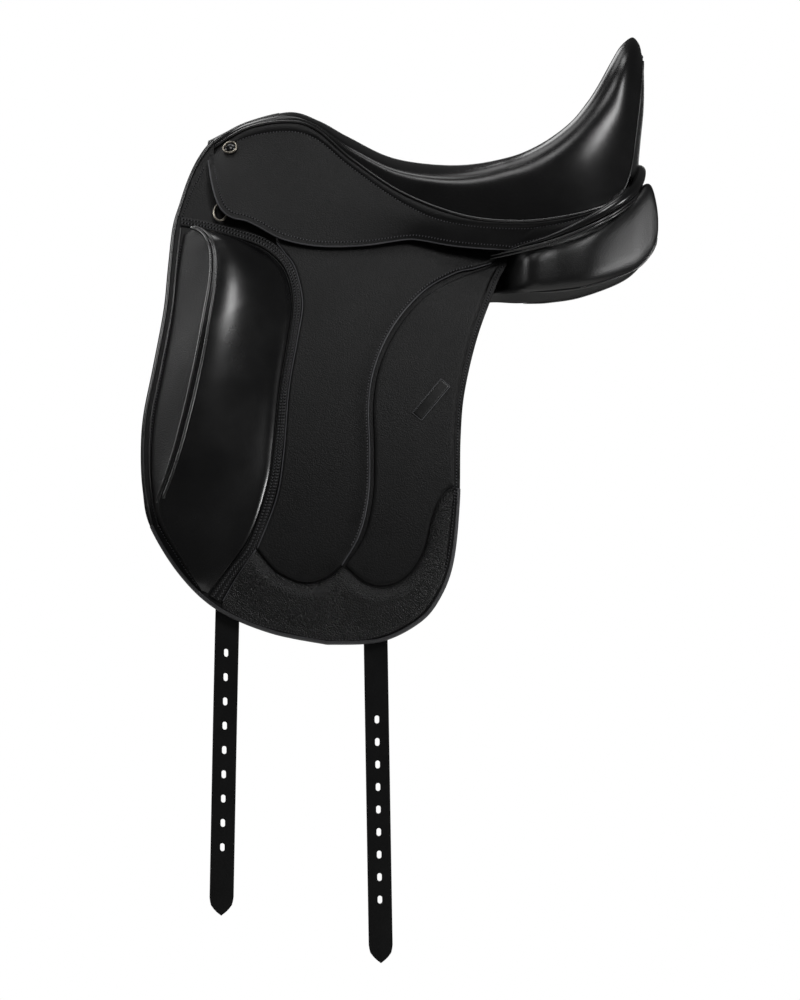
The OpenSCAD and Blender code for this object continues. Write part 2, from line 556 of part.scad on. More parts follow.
// Middle of a billet at height z: the strap b is [x, z of x, tilt, tip, first hole, pitch, top]
function billet_x(b, z) = b[0] * seat_x + (z - b[1]) * tan(b[2]);
module billet(b, side) {
    w = billet_w / 2;
    tip = b[3];
    point = [[1, 19], [0.955, 14.8], [0.87, 10.7], [0.62, 6.6], [0.375, 3.6], [0, 0]];
    edge = concat([for (p = point) [-w * p[0], tip + p[1]]],
        [for (p = reversed(point)) if (p[0] > 0) [w * p[0], tip + p[1]]],
        [[w, b[6] - 6], [w - 6, b[6]], [6 - w, b[6]], [-w, b[6] - 6]]);
    outline = [for (p = edge) [billet_x(b, p[1]) + p[0], p[1]]];
    flat_w = bend_w + flap_round;
    color(black_leather) on_side(side) difference() {
        intersection() {
            rotate([90, 0, 0]) linear_extrude(height = 420) polygon(outline);
            union() {
                at_fold() difference() {
                    bend_roller(billet_out);
                    bend_roller(billet_in);
                    translate([-200, -300, -bend_d - 900]) cube([800, 300, 900]);
                }
                at_fold() translate([-200, -flat_w - billet_out, -bend_d - 700]) cube([800, billet_t, 700]);
            }
        }
        for (k = [0:hole_n - 1]) slot(b, b[4] - k * b[5]);
    }
}
module slot(b, z) {
    x = billet_x(b, z);
    run = hole_l / 2 - hole_r;
    for (s = [-1, 1]) translate([x, -150, z + s * run]) rotate([90, 0, 0]) cylinder(r = hole_r, h = 120);
    translate([x - hole_r, -270, z - run]) cube([2 * hole_r, 120, 2 * run]);
}
// Cloth webs that carry the two billets of a side from the tree
module girth_webs(side) {
    color(web_cloth) on_side(side) for (b = [billet_front(side), billet_rear(side)]) {
        p = [billet_x(b, 70) - fold_x, down(billet_x(b, 70), 70)];
        draped([p + [-11, -30], p + [11, -27], p + [11, 27], p + [-11, 24]],
            billet_in - web_gap - web_t, billet_in - web_gap);
    }
}

// Panels: rows of [x, top inner, top outer, bottom outer, bottom inner] corners as w and z
function panel_rows() = [
    for (q = [[-268, 64, 38, 74, 66, 82, 34], [-240, 74, 16, 58, 80, 78, 10], [-150, 70, 0, 42, 80, 60, 2],
        [-60, 62, -6, channel_half, 71.6, 46, 6], [10, 55, -8, channel_half - 1, 66.6, 40, 10],
        [46, 50, -6, channel_half, 65, 40, 12]])
        [q[0], q[3], q[4] + seat_rise, hang(q[0], q[1] + seat_rise, panel_out), q[1] + seat_rise,
            hang(q[0], q[2], panel_out), q[2], q[5], q[6]],
    for (q = [[85, 38, 70, -8, 44, 0, -6, 42, 16], [135, 40, 88, -14, 70, -8, 0, 44, 30],
        [178, 48, 98, -40, 92, -36, 15, 50, 46], [199, 60, 102, -56, 100, -54, 36, 62, 55],
        [208, 68, 82, -64, 82, -64, 62, 69, 62]])
        [q[0], q[1], q[2] + seat_rise, panel_half + q[3], q[4] + seat_rise,
            panel_half + q[5], q[6], q[7], q[8]]];
function panel_ring(r, sides) = [for (k = [0:sides - 1]) let (a = 360 * k / sides,
        u = 0.5 + 0.5 * sign(cos(a)) * sqrt(abs(cos(a))), v = 0.5 + 0.5 * sign(sin(a)) * sqrt(abs(sin(a))),
        p = mix(mix([r[7], r[8]], [r[5], r[6]], u), mix([r[1], r[2]], [r[3], r[4]], u), v))
    [r[0], -p[0], p[1]]];
function panel_rings() = [for (r = spline(panel_rows(), 3)) panel_ring(r, 20)];
module panel(side) {
    color(black_leather) on_side(side) loft(panel_rings());
}
// Cord along the lower outer edge of a panel's rear part
module panel_piping(side) {
    rings = panel_rings();
    path = [for (i = [16:26]) rings[i][17] + [0.3, -0.8, -0.9] * (piping_r + gap)];
    color(black_leather) on_side(side) cord(path, piping_r, 6);
}

// Stirrup bar: a plate on the rail, a front post and a bar that ends in a fork for the catch
module across(x, z, w0, w1, r) {
    translate([x, -w0, z]) rotate([90, 0, 0]) cylinder(r = r, h = w1 - w0);
}
module stirrup_bar(side) {
    w1 = bar_w + bar_t;
    cheek = 1.8;
    color(steel) on_side(side) difference() {
        union() {
            translate([bar_x - 12, -60.3, bar_z - 12]) cube([bar_len + 26, 4, 24]);
            translate([bar_x - 12, -w1, bar_z - bar_h / 2]) cube([12, w1 - 58, bar_h]);
            translate([bar_x - 1, -w1, bar_z - bar_h / 2]) cube([bar_len + 1, bar_t, bar_h]);
            for (w = [bar_w, w1 - cheek]) {
                translate([bar_x + bar_len - 1, -w - cheek, bar_z - bar_h / 2]) cube([9, cheek, bar_h]);
                across(pin_x, bar_z, w, w + cheek, bar_h / 2);
            }
        }
        across(pin_x, bar_z, bar_w - 1, w1 + 1, pin_r + 0.02);
    }
}
module bar_catch(side) {
    w1 = bar_w + bar_t;
    tongue = 2.1;
    reach = bar_h / 2 + 0.4;
    color(steel) on_side(side) difference() {
        union() {
            across(pin_x, bar_z, bar_w + tongue, w1 - tongue, bar_h / 2 - 0.4);
            translate([pin_x, -w1 + tongue, bar_z - 3]) cube([reach + 1, bar_t - 2 * tongue, 6]);
            translate([pin_x + reach, -w1, bar_z - bar_h / 2 + 0.5]) cube([catch_len, bar_t, bar_h - 1]);
        }
        across(pin_x, bar_z, bar_w - 1, w1 + 1, pin_r + 0.06);
    }
}
module catch_pin(side) {
    color(steel) on_side(side) across(pin_x, bar_z, bar_w - 0.6, bar_w + bar_t + 0.6, pin_r);
}

// Dee ring in a leather loop on the upper flap
module at_dee() {
    at_fold() translate(on_flap(DEE_AT, dee_out)) rotate([-lean(DEE_AT[1]), 0, 0]) children();
}
module dee_ring(side) {
    leg = dee_l - dee_w / 2;
    color(nickel) on_side(side) at_dee() {
        translate([-dee_w / 2, 0, 0]) rotate([0, 90, 0]) cylinder(r = dee_r, h = dee_w);
        for (s = [-1, 1]) translate([s * dee_w / 2, 0, 0]) {
            sphere(r = dee_r);
            translate([0, 0, -leg]) cylinder(r = dee_r, h = leg);
        }
        translate([0, 0, -leg]) rotate([90, 180, 0]) rotate_extrude(angle = 180)
            translate([dee_w / 2, 0]) circle(r = dee_r);
    }
}
module dee_chape(side) {
    half = dee_w / 2 - dee_r - 0.6;
    strap_t = 1.9;
    color(black_leather) on_side(side) at_dee() difference() {
        union() {
            translate([-half, dee_out - gap - strap_t, 0]) cube([2 * half, strap_t, 24]);
            translate([-half, 0, 0]) rotate([0, 90, 0]) cylinder(r = dee_out - 2 * gap, h = 2 * half);
        }
        translate([-half - 1, 0, 0]) rotate([0, 90, 0]) cylinder(r = dee_r + 0.05, h = 2 * half + 2);
    }
}

tree();
gullet_plate();
gullet_rivets();
seat_webs();
seat_foam();
seat_cover();
cantle_facing();
cantle_roll();
pommel_facing();
seat_welt(left);  // seat_welt_left
seat_welt(right);  // seat_welt_right
head_stud(left);  // head_stud_left
head_stud(right);  // head_stud_right
skirt_top(left);  // skirt_top_left
skirt_top(right);  // skirt_top_right
skirt(left);  // skirt_left
skirt(right);  // skirt_right
flap_top(left);  // flap_top_left
flap_top(right);  // flap_top_right
flap(left);  // flap_left
flap(right);  // flap_right
flap_mid_panel(left);  // flap_mid_panel_left
flap_mid_panel(right);  // flap_mid_panel_right
flap_rear_panel(left);  // flap_rear_panel_left
flap_rear_panel(right);  // flap_rear_panel_right
flap_patch(left);  // flap_patch_left
flap_patch(right);  // flap_patch_right
flap_binding(left);  // flap_binding_left
flap_binding(right);  // flap_binding_right
flap_tab(left);  // flap_tab_left
flap_tab(right);  // flap_tab_right
knee_block(left);  // knee_block_left
knee_block(right);  // knee_block_right
block_piping(left);  // block_piping_left
block_piping(right);  // block_piping_right
sweat_flap(left);  // sweat_flap_left
sweat_flap(right);  // sweat_flap_right
billet(billet_front(left), left);  // billet_front_left
billet(billet_front(right), right);  // billet_front_right
billet(billet_rear(left), left);  // billet_rear_left
billet(billet_rear(right), right);  // billet_rear_right
girth_webs(left);  // girth_webs_left
girth_webs(right);  // girth_webs_right
panel(left);  // panel_left
panel(right);  // panel_right
panel_piping(left);  // panel_piping_left
panel_piping(right);  // panel_piping_right
stirrup_bar(left);  // stirrup_bar_left
stirrup_bar(right);  // stirrup_bar_right
bar_catch(left);  // bar_catch_left
bar_catch(right);  // bar_catch_right
catch_pin(left);  // catch_pin_left
catch_pin(right);  // catch_pin_right
dee_ring(left);  // dee_ring_left
dee_ring(right);  // dee_ring_right
dee_chape(left);  // dee_chape_left
dee_chape(right);  // dee_chape_right
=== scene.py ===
"""Black dressage saddle: leather, stuffing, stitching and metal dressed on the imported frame.

Shapes are worked out in millimetres as (x, w, z): x runs to the rear, w is the distance out from the
middle plane, z runs up. Each mesh is written in metres, on the left or the right side of the frame.
"""

import logging
import math
from collections.abc import Callable, Sequence
from dataclasses import dataclass, field
from enum import Enum

import bmesh
import bpy
import numpy as np
from mathutils import Matrix, Vector


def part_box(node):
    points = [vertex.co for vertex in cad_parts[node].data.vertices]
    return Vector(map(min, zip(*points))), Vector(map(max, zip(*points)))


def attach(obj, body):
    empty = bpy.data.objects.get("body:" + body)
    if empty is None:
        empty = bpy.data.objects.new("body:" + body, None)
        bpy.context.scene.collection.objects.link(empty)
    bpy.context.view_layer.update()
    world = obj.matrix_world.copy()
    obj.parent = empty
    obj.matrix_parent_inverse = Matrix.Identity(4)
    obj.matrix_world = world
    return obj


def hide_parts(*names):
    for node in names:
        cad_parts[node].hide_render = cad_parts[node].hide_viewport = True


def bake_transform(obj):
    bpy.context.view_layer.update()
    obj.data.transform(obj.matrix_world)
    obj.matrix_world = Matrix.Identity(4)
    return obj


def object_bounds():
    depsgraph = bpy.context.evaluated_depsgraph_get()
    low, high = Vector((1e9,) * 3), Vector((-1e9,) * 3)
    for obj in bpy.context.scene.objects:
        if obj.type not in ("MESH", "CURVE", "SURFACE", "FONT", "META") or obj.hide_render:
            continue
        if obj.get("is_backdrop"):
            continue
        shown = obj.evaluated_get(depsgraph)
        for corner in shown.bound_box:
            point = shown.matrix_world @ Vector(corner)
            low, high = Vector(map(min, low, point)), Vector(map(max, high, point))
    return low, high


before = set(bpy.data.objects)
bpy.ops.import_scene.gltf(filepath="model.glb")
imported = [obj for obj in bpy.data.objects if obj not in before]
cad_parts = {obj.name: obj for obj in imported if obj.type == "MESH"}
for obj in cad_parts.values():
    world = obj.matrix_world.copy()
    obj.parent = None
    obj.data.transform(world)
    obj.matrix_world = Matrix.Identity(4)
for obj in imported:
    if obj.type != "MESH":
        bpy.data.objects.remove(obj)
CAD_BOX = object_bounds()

LOG = logging.getLogger("saddle")
MM = 0.001
MIRROR = np.array([1, -1, 1])

Array = np.ndarray
Number = Array | float
Piece = bpy.types.Object
Mesh = bmesh.types.BMesh
Tree = bpy.types.NodeTree
Node = bpy.types.Node
Socket = bpy.types.NodeSocket
Place = Callable[[Array, Array], Array]
Points = Sequence[Sequence[float]]
Values = dict[str | int, object]
Links = dict[str | int, Socket]


class Side(Enum):
    """The two sides of the saddle, by the sign of Y."""

    LEFT = -1
    RIGHT = 1

    def node(self, name: str) -> str:
        """Name of a node, body or piece on this side."""
        return f"{name}_{self.name.lower()}"

    def metres(self, points: Array) -> Array:
        """Points of (x, w, z) in millimetres as points of the frame in metres."""
        return np.asarray(points, float) * np.array([1.0, self.value, 1.0]) * MM

    def vector(self, point: Sequence[float]) -> Vector:
        """One point of (x, w, z) in millimetres as a vector of the frame in metres."""
        return Vector(self.metres(point))


class Slot(Enum):
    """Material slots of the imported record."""

    LEATHER = "black_leather"
    GRAIN = "grain_leather"
    STUFFED = "stuffed_leather"
    FOAM = "foam"
    NICKEL = "nickel"


# Curves


def mix(a: Number, b: Number, t: Number) -> Number:
    """Value a share t of the way from a to b."""
    return a + (b - a) * t


def rise(x: Array, start: float, width: float) -> Array:
    """Straight rise from 0 at start to 1 that width further on; a negative width runs the other way."""
    return np.clip((x - start) / width, 0, 1)


def swell(t: Array) -> Array:
    """Quarter-sine rise from 0 to 1, level outside."""
    return np.sin(np.clip(t, 0, 1) * math.pi / 2)


def rounded(distance: Array, width: float) -> Array:
    """Quarter-round rise from 0 at an edge to 1 at that width from it."""
    return np.sqrt(np.maximum(0, 1 - (1 - rise(distance, 0, width)) ** 2))


def crowded(t: Array, strength: float = 0.6) -> Array:
    """Even shares drawn closer together towards both ends; a strength of 0 leaves them even."""
    return mix(t, 0.5 - 0.5 * np.cos(math.pi * t), strength)


def bend(a: Array, b: Array, c: Array, d: Array, t: Array) -> Array:
    """Smooth curve from b to c with neighbours a and d, at share t."""
    square, cube = 2 * a - 5 * b + 4 * c - d, 3 * b - a - 3 * c + d
    return 0.5 * (2 * b + (c - a) * t + square * t**2 + cube * t**3)


def along(points: Points, s: Number) -> Array:
    """Smooth curve through points at s, counted in points.

    Args:
        points: The points the curve runs through.
        s: Places on the curve; whole numbers are the points themselves.

    Returns:
        One row per place.
    """
    p = np.asarray(points, float)
    s = np.atleast_1d(np.asarray(s, float))
    last = len(p) - 1
    i = np.clip(np.floor(s).astype(int), 0, last - 1)
    pick = [p[np.clip(i + k, 0, last)] for k in (-1, 0, 1, 2)]
    return bend(*pick, (s - i)[:, None])


def smooth(points: Points, steps: int = 8) -> Array:
    """Smooth curve through points with that many steps between neighbours."""
    return along(points, np.linspace(0, len(points) - 1, (len(points) - 1) * steps + 1))


def travel(path: Array) -> Array:
    """Distance along a path at each of its points."""
    return np.concatenate([[0.0], np.cumsum(np.linalg.norm(np.diff(path, axis=0), axis=1))])


def walk(path: Array, distance: Array) -> Array:
    """Points of a path at the given distances along it."""
    run = travel(path)
    return np.stack([np.interp(distance, run, path[:, k]) for k in range(path.shape[1])], axis=1)


def even(path: Array, count: int) -> Array:
    """The path with that many points at even distances."""
    return walk(path, np.linspace(0, travel(path)[-1], count))


def headings(path: Array) -> Array:
    """Unit heading at each point of a path."""
    heading = np.gradient(path, axis=0)
    return heading / np.linalg.norm(heading, axis=1, keepdims=True)


def inside(path: Array, distance: Number) -> Array:
    """A flat path moved sideways, to the left of its heading for a positive distance."""
    heading = headings(path)
    return path + distance * np.stack([-heading[:, 1], heading[:, 0]], axis=1)


def edge_distance(points: Array, outline: Array) -> Array:
    """Distance of flat points from an open outline.

    Args:
        points: Points of (along, down).
        outline: The outline's points, in order.

    Returns:
        One distance per point.
    """
    start, span = outline[:-1], np.diff(outline, axis=0)
    size = np.maximum((span**2).sum(1), 1e-9)
    best = np.full(len(points), np.inf)
    for a, v, n in zip(start, span, size):
        share = np.clip(((points - a) @ v) / n, 0, 1)
        best = np.minimum(best, np.linalg.norm(points - a - share[:, None] * v, axis=1))
    return best


def iron(points: Array, weight: Array, passes: int) -> None:
    """Draws each inner row of a grid of points towards the mean of its neighbours, again and again.

    Args:
        points: The points by row and column, changed in place.
        weight: How far each point goes in one pass, from 0 to 1.
        passes: How often.
    """
    for _ in range(passes):
        mean = (points[:-2] + points[2:]) / 2
        points[1:-1] = mix(points[1:-1], mean, weight[1:-1, :, None])


# Finishes


def linear(code: str) -> tuple[float, float, float, float]:
    """An sRGB hex colour as linear red, green, blue and alpha.

    Args:
        code: The colour, as # and six hex digits.

    Returns:
        Red, green, blue and alpha.
    """
    values = [int(code[i : i + 2], 16) / 255 for i in (1, 3, 5)]
    lin = [v / 12.92 if v <= 0.04045 else ((v + 0.055) / 1.055) ** 2.4 for v in values]
    return (*lin, 1.0)


def per_metre(size_mm: float) -> float:
    """Texture scale whose features are about that many millimetres across."""
    return 1 / (size_mm * MM)


def wire(node: Node, values: Values | None = None, links: Links | None = None) -> None:
    """Sets a node's inputs and joins other nodes' outputs to its inputs.

    Args:
        node: The node.
        values: Values of its inputs, by name or number.
        links: Output sockets of other nodes, by the input they feed.
    """
    for name, value in (values or {}).items():
        node.inputs[name].default_value = value
    for name, socket in (links or {}).items():
        node.id_data.links.new(socket, node.inputs[name])


def add(
    tree: Tree, kind: str, values: Values | None = None, links: Links | None = None, **settings: object
) -> Node:
    """Adds one node to a material.

    Args:
        tree: The material's node tree.
        kind: Blender's name of the node type, without its beginning.
        values: Values of its input sockets.
        links: Output sockets of other nodes, by the input they feed.
        settings: Attributes of the node.

    Returns:
        The new node.
    """
    node = tree.nodes.new("ShaderNode" + kind)
    for name, value in settings.items():
        setattr(node, name, value)
    wire(node, values, links)
    return node


@dataclass(frozen=True)
class Coating:
    """What every finish has: a name and a way to make its material once."""

    name: str

    def material(self) -> bpy.types.Material:
        """The finish's material, made the first time it is asked for.

        Returns:
            The material.
        """
        known = bpy.data.materials.get(self.name)
        if known:
            return known
        material = bpy.data.materials.new(self.name)
        material.use_nodes = True
        tree = material.node_tree
        place = add(tree, "TexCoord").outputs["Object"]
        self.dress(tree, tree.nodes["Principled BSDF"], place)
        return material

    def dress(self, tree: Tree, shader: Node, place: Socket) -> None:
        """Sets up the shader.

        Args:
            tree: The material's node tree.
            shader: Its shader.
            place: Object coordinates.
        """
        raise NotImplementedError


@dataclass(frozen=True)
class Leather(Coating):
    """Aniline-dyed cowhide, dressed and polished: near black, with a soft sheen over its grain."""

    deep: str
    worn: str
    grain_mm: float
    depth_mm: float
    rough: tuple[float, float]
    specular: float = 0.5
    coat: float = 0.0
    wrinkle_mm: float = 0.0
    wrinkle_size_mm: float = 34.0
    mottle_mm: float = 55.0
    # Parts of the mottling over which the dye and the polish change
    dye_at: tuple[float, float] = (0.32, 0.72)
    polish_at: tuple[float, float] = (0.3, 0.7)
    coat_rough: float = 0.22

    def dress(self, tree: Tree, shader: Node, place: Socket) -> None:
        """Dyes the hide unevenly, polishes it and draws its grain at the hide's own scale.

        Args:
            tree: The material's node tree.
            shader: Its shader.
            place: Object coordinates.
        """
        uneven = {"Scale": per_metre(self.mottle_mm), "Detail": 5.0, "Roughness": 0.6}
        mottle = add(tree, "TexNoise", uneven, {"Vector": place}).outputs["Fac"]
        dye = add(tree, "ValToRGB", {}, {"Fac": mottle})
        for stop, at, code in zip(dye.color_ramp.elements, self.dye_at, (self.deep, self.worn)):
            stop.position, stop.color = at, linear(code)
        span = dict(zip(("From Min", "From Max", "To Min", "To Max"), self.polish_at + self.rough))
        polish = add(tree, "MapRange", span, {"Value": mottle})
        wire(shader, {"Specular IOR Level": self.specular, "IOR": 1.5})
        wire(shader, {"Coat Weight": self.coat, "Coat Roughness": self.coat_rough})
        wire(shader, {}, {
            "Base Color": dye.outputs["Color"], "Roughness": polish.outputs["Result"],
            "Normal": self.relief(tree, place),
        })

    def relief(self, tree: Tree, place: Socket) -> Socket:
        """Adds the pebbles of the grain, the pores between them and slow wrinkles.

        Args:
            tree: The material's node tree.
            place: Object coordinates.

        Returns:
            The bumped normal.
        """
        warp = add(
            tree, "TexNoise", {"Scale": per_metre(self.grain_mm * 3), "Detail": 2.0}, {"Vector": place}
        )
        shifted = add(
            tree, "VectorMath", {1: (self.grain_mm * MM,) * 3}, {0: warp.outputs["Color"], 2: place},
            operation="MULTIPLY_ADD",
        )
        pebble = add(
            tree, "TexVoronoi", {"Scale": per_metre(self.grain_mm), "Randomness": 1.0},
            {"Vector": shifted.outputs["Vector"]}, feature="F1",
        )
        pore = add(
            tree, "TexNoise", {"Scale": per_metre(self.grain_mm * 0.5), "Detail": 2.0}, {"Vector": place}
        )
        height = add(
            tree, "Math", {1: -1.0}, {0: pebble.outputs["Distance"], 2: pore.outputs["Fac"]},
            operation="MULTIPLY_ADD",
        )
        fine = add(
            tree, "Bump", {"Strength": 1.0, "Distance": self.depth_mm * MM},
            {"Height": height.outputs["Value"]},
        )
        if not self.wrinkle_mm:
            return fine.outputs["Normal"]
        wave = add(
            tree, "TexNoise", {"Scale": per_metre(self.wrinkle_size_mm), "Detail": 2.0}, {"Vector": place}
        )
        slow = add(
            tree, "Bump", {"Strength": 1.0, "Distance": self.wrinkle_mm * MM},
            {"Height": wave.outputs["Fac"], "Normal": fine.outputs["Normal"]},
        )
        return slow.outputs["Normal"]


@dataclass(frozen=True)
class Metal(Coating):
    """Turned or forged metal: mirror sharp when plated, softened by fine polishing marks."""

    colour: str
    rough: tuple[float, float]
    scratch_mm: float = 0.5

    def dress(self, tree: Tree, shader: Node, place: Socket) -> None:
        """Colours the metal and polishes it unevenly.

        Args:
            tree: The material's node tree.
            shader: Its shader.
            place: Object coordinates.
        """
        rub = add(tree, "TexNoise", {"Scale": per_metre(self.scratch_mm), "Detail": 3.0}, {"Vector": place})
        span = dict(zip(("To Min", "To Max"), self.rough))
        polish = add(tree, "MapRange", span, {"Value": rub.outputs["Fac"]}).outputs["Result"]
        wire(shader, {"Base Color": linear(self.colour), "Metallic": 1.0}, {"Roughness": polish})


@dataclass(frozen=True)
class Fibre(Coating):
    """Thread, woven tape, foam or wood: a matt body with streaks or cells along its make."""

    deep: str
    light: str
    cell_mm: tuple[float, float, float]
    depth_mm: float
    rough: float

    def dress(self, tree: Tree, shader: Node, place: Socket) -> None:
        """Draws cells of the given size along X, Y and Z.

        Args:
            tree: The material's node tree.
            shader: Its shader.
            place: Object coordinates.
        """
        scale = tuple(per_metre(c) for c in self.cell_mm)
        cells = add(tree, "Mapping", {"Scale": scale}, {"Vector": place}).outputs["Vector"]
        weave = add(tree, "TexNoise", {"Scale": 1.0, "Detail": 3.0}, {"Vector": cells}).outputs["Fac"]
        dye = add(tree, "ValToRGB", {}, {"Fac": weave})
        for stop, at, code in zip(dye.color_ramp.elements, (0.35, 0.65), (self.deep, self.light)):
            stop.position, stop.color = at, linear(code)
        pile = add(tree, "Bump", {"Strength": 1.0, "Distance": self.depth_mm * MM}, {"Height": weave})
        wire(shader, {"Roughness": self.rough, "Specular IOR Level": 0.35}, {
            "Base Color": dye.outputs["Color"], "Normal": pile.outputs["Normal"],
        })


class Finish(Enum):
    """Every finish of the saddle, by what it is made of."""

    # Bridle-finished calf of flap and skirt: a fine dry grain that shows as a faint tooth
    CALF = Leather("calf_leather", "#0e0e0f", "#171718", 1.5, 0.20, (0.40, 0.52))
    # Glazed soft hide over foam and flock: nearly smooth, with a broad clear highlight
    GLAZED = Leather(
        "glazed_leather", "#0d0d0e", "#141415", 0.9, 0.015, (0.21, 0.28), specular=0.95, wrinkle_mm=0.15
    )
    # Printed hide of the lower patch: coarse pebbles with dark furrows and small glints, 1.7 mm apart
    PEBBLED = Leather("pebbled_leather", "#0a0a0b", "#131314", 1.7, 0.64, (0.26, 0.36), specular=0.7)
    # Skived and folded strips, cords and bindings: smooth, with a polished crown
    STRIP = Leather("strip_leather", "#171718", "#212122", 1.0, 0.05, (0.34, 0.46))
    # Stuffed panels on the horse's side: softer and drier than the seat, with a broad grainy sheen
    PANEL = Leather("panel_leather", "#0f0f10", "#161617", 1.2, 0.09, (0.30, 0.38), specular=0.9)
    # Thin skived leather drawn tight round a cord: it polishes to a fine bright line
    PIPING = Leather("piping_leather", "#1c1c1d", "#262627", 1.0, 0.02, (0.25, 0.33), specular=1.0, coat=1.0)
    # Folded binding of the flap's foot, painted paler than the patch above it: the light grey is painted
    # light for the light it catches from below
    BINDING = Leather("binding_leather", "#48484b", "#626265", 1.4, 0.35, (0.32, 0.42), specular=0.8)
    # Oiled strap butt of the billets: dense, flat and waxy
    STRAP = Leather("strap_leather", "#0b0b0c", "#121213", 1.1, 0.04, (0.42, 0.55))
    # Waxed polyester thread; the ply is too fine to show, so it is drawn at 0.6 mm. The thread is black: its
    # mid grey is a painted highlight for the glints on its beads
    THREAD = Fibre("thread_painted_glints", "#5a5a5e", "#7c7c80", (0.6, 0.6, 0.6), 0.12, 0.5)
    # Needle holes: a near-black bead of painted shade between two stitches, where the hole's shadow falls
    HOLE = Fibre("painted_hole_shade", "#030303", "#050505", (0.6, 0.6, 0.6), 0.05, 0.9)
    # Waxed cut edge of thick leather, drawn as a thin lighter line: its pale grey is painted sheen for the
    # light the rounded edge catches
    EDGE = Leather("edge_painted_sheen", "#5c5c60", "#747478", 1.0, 0.03, (0.28, 0.38))
    # Woven girth and seat tape
    TAPE = Fibre("woven_tape", "#a59e8b", "#c9c2ad", (0.8, 0.8, 3.0), 0.2, 0.85)
    # Open-cell foam of the seat
    FOAM = Fibre("seat_foam", "#4e4e51", "#6a6a6d", (1.2, 1.2, 1.2), 0.3, 0.9)
    # Planed and oiled beech of the tree: deep brown, with its grain along the rails
    BEECH = Fibre("oiled_beech", "#33261b", "#4a3929", (22.0, 2.0, 2.0), 0.1, 0.6)
    # Nickel plate on the stud and dee, a little warm
    NICKEL = Metal("nickel_plate", "#ddd5c6", (0.26, 0.38))
    # Forged steel of the stirrup bars and head plate
    STEEL = Metal("forged_steel", "#8d8d90", (0.32, 0.48), scratch_mm=1.2)
    # Baked black enamel of the stud's cap
    ENAMEL = Leather("black_enamel", "#08080a", "#0c0c0e", 3.0, 0.005, (0.10, 0.16), coat=0.6)

    def material(self) -> bpy.types.Material:
        """The finish's material."""
        return self.value.material()


# Meshes


def to_object(bm: Mesh, name: str, finish: Finish) -> Piece:
    """Turns a bmesh into a smooth-shaded piece of the scene, at the origin, and frees the bmesh.

    Args:
        bm: The shape, in metres.
        name: Name of the piece.
        finish: Its finish.

    Returns:
        The piece.
    """
    mesh = bpy.data.meshes.new(name)
    bm.to_mesh(mesh)
    bm.free()
    mesh.shade_smooth()
    mesh.materials.append(finish.material())
    piece = bpy.data.objects.new(name, mesh)
    bpy.context.scene.collection.objects.link(piece)
    return piece


def laid_grid(columns: int, rows: int, place: Place, side: Side, outward: Sequence[float] | None) -> Mesh:
    """A grid laid on a surface.

    Args:
        columns: Steps across.
        rows: Steps along.
        place: Gives (x, w, z) in millimetres for shares across and along.
        side: The side the surface is on.
        outward: Direction (x, w, z) the faces look to, or None for a closed shape.

    Returns:
        The grid as a bmesh.
    """
    bm = bmesh.new()
    bmesh.ops.create_grid(bm, x_segments=columns, y_segments=rows, size=1.0)
    flat = np.array([v.co[:2] for v in bm.verts])
    low, high = flat.min(0), flat.max(0)
    share = (flat - low) / (high - low)
    for vert, point in zip(bm.verts, side.metres(place(share[:, 0], share[:, 1]))):
        vert.co = point
    bm.normal_update()
    if outward is not None:
        aim = side.vector(outward)
        if sum(f.normal.dot(aim) * f.calc_area() for f in bm.faces) < 0:
            bmesh.ops.reverse_faces(bm, faces=bm.faces)
    return bm


def close_shape(bm: Mesh, fill: bool) -> None:
    """Merges a wrapped grid's seam, fills its open ends and turns its faces outward.

    Args:
        bm: The shape, changed in place.
        fill: Whether open ends are filled.
    """
    bmesh.ops.remove_doubles(bm, verts=bm.verts, dist=1e-6)
    if fill:
        bmesh.ops.holes_fill(bm, edges=[e for e in bm.edges if e.is_boundary], sides=0)
    bmesh.ops.recalc_face_normals(bm, faces=bm.faces)


def tube(name: str, path: Array, radius: Number, side: Side, finish: Finish, sides: int = 12) -> Piece:
    """A round cord along a path.

    Args:
        name: Name of the piece.
        path: Points of (x, w, z) in millimetres.
        radius: Radius, or one radius per point.
        side: The side of the saddle.
        finish: Its finish.
        sides: Faces round the cord.

    Returns:
        The cord, with closed ends.
    """
    count = len(path)
    size = np.broadcast_to(np.asarray(radius, float), (count,))
    heading = headings(path)
    frames = np.zeros((count, 3))
    normal = np.cross(heading[0], [0.3, 0.2, 1.0])
    for i in range(count):
        normal = normal - heading[i] * (normal @ heading[i])
        normal /= np.linalg.norm(normal)
        frames[i] = normal
    binormal = np.cross(heading, frames)

    def place(u: Array, t: Array) -> Array:
        """Point at a share round the cord and a share along it.

        Args:
            u: Shares round the cord.
            t: Shares along it.

        Returns:
            Points of (x, w, z) in millimetres.
        """
        i = np.rint(t * (count - 1)).astype(int)
        turn = 2 * math.pi * u[:, None]
        return path[i] + size[i][:, None] * (np.cos(turn) * frames[i] + np.sin(turn) * binormal[i])

    bm = laid_grid(sides, count - 1, place, side, None)
    close_shape(bm, True)
    return to_object(bm, name, finish)


STITCH_PITCH = 3.3
STITCH_SLANT = 0.12
# Thread and the needle hole's painted shade: where in the pitch the first one lies, its half length as a
# share of the pitch, its half width and half height in millimetres, and its material slot
STITCH_BEADS = ((0.5, 0.36, 0.60, 0.46, 0), (1.0, 0.16, 0.62, 0.30, 1))


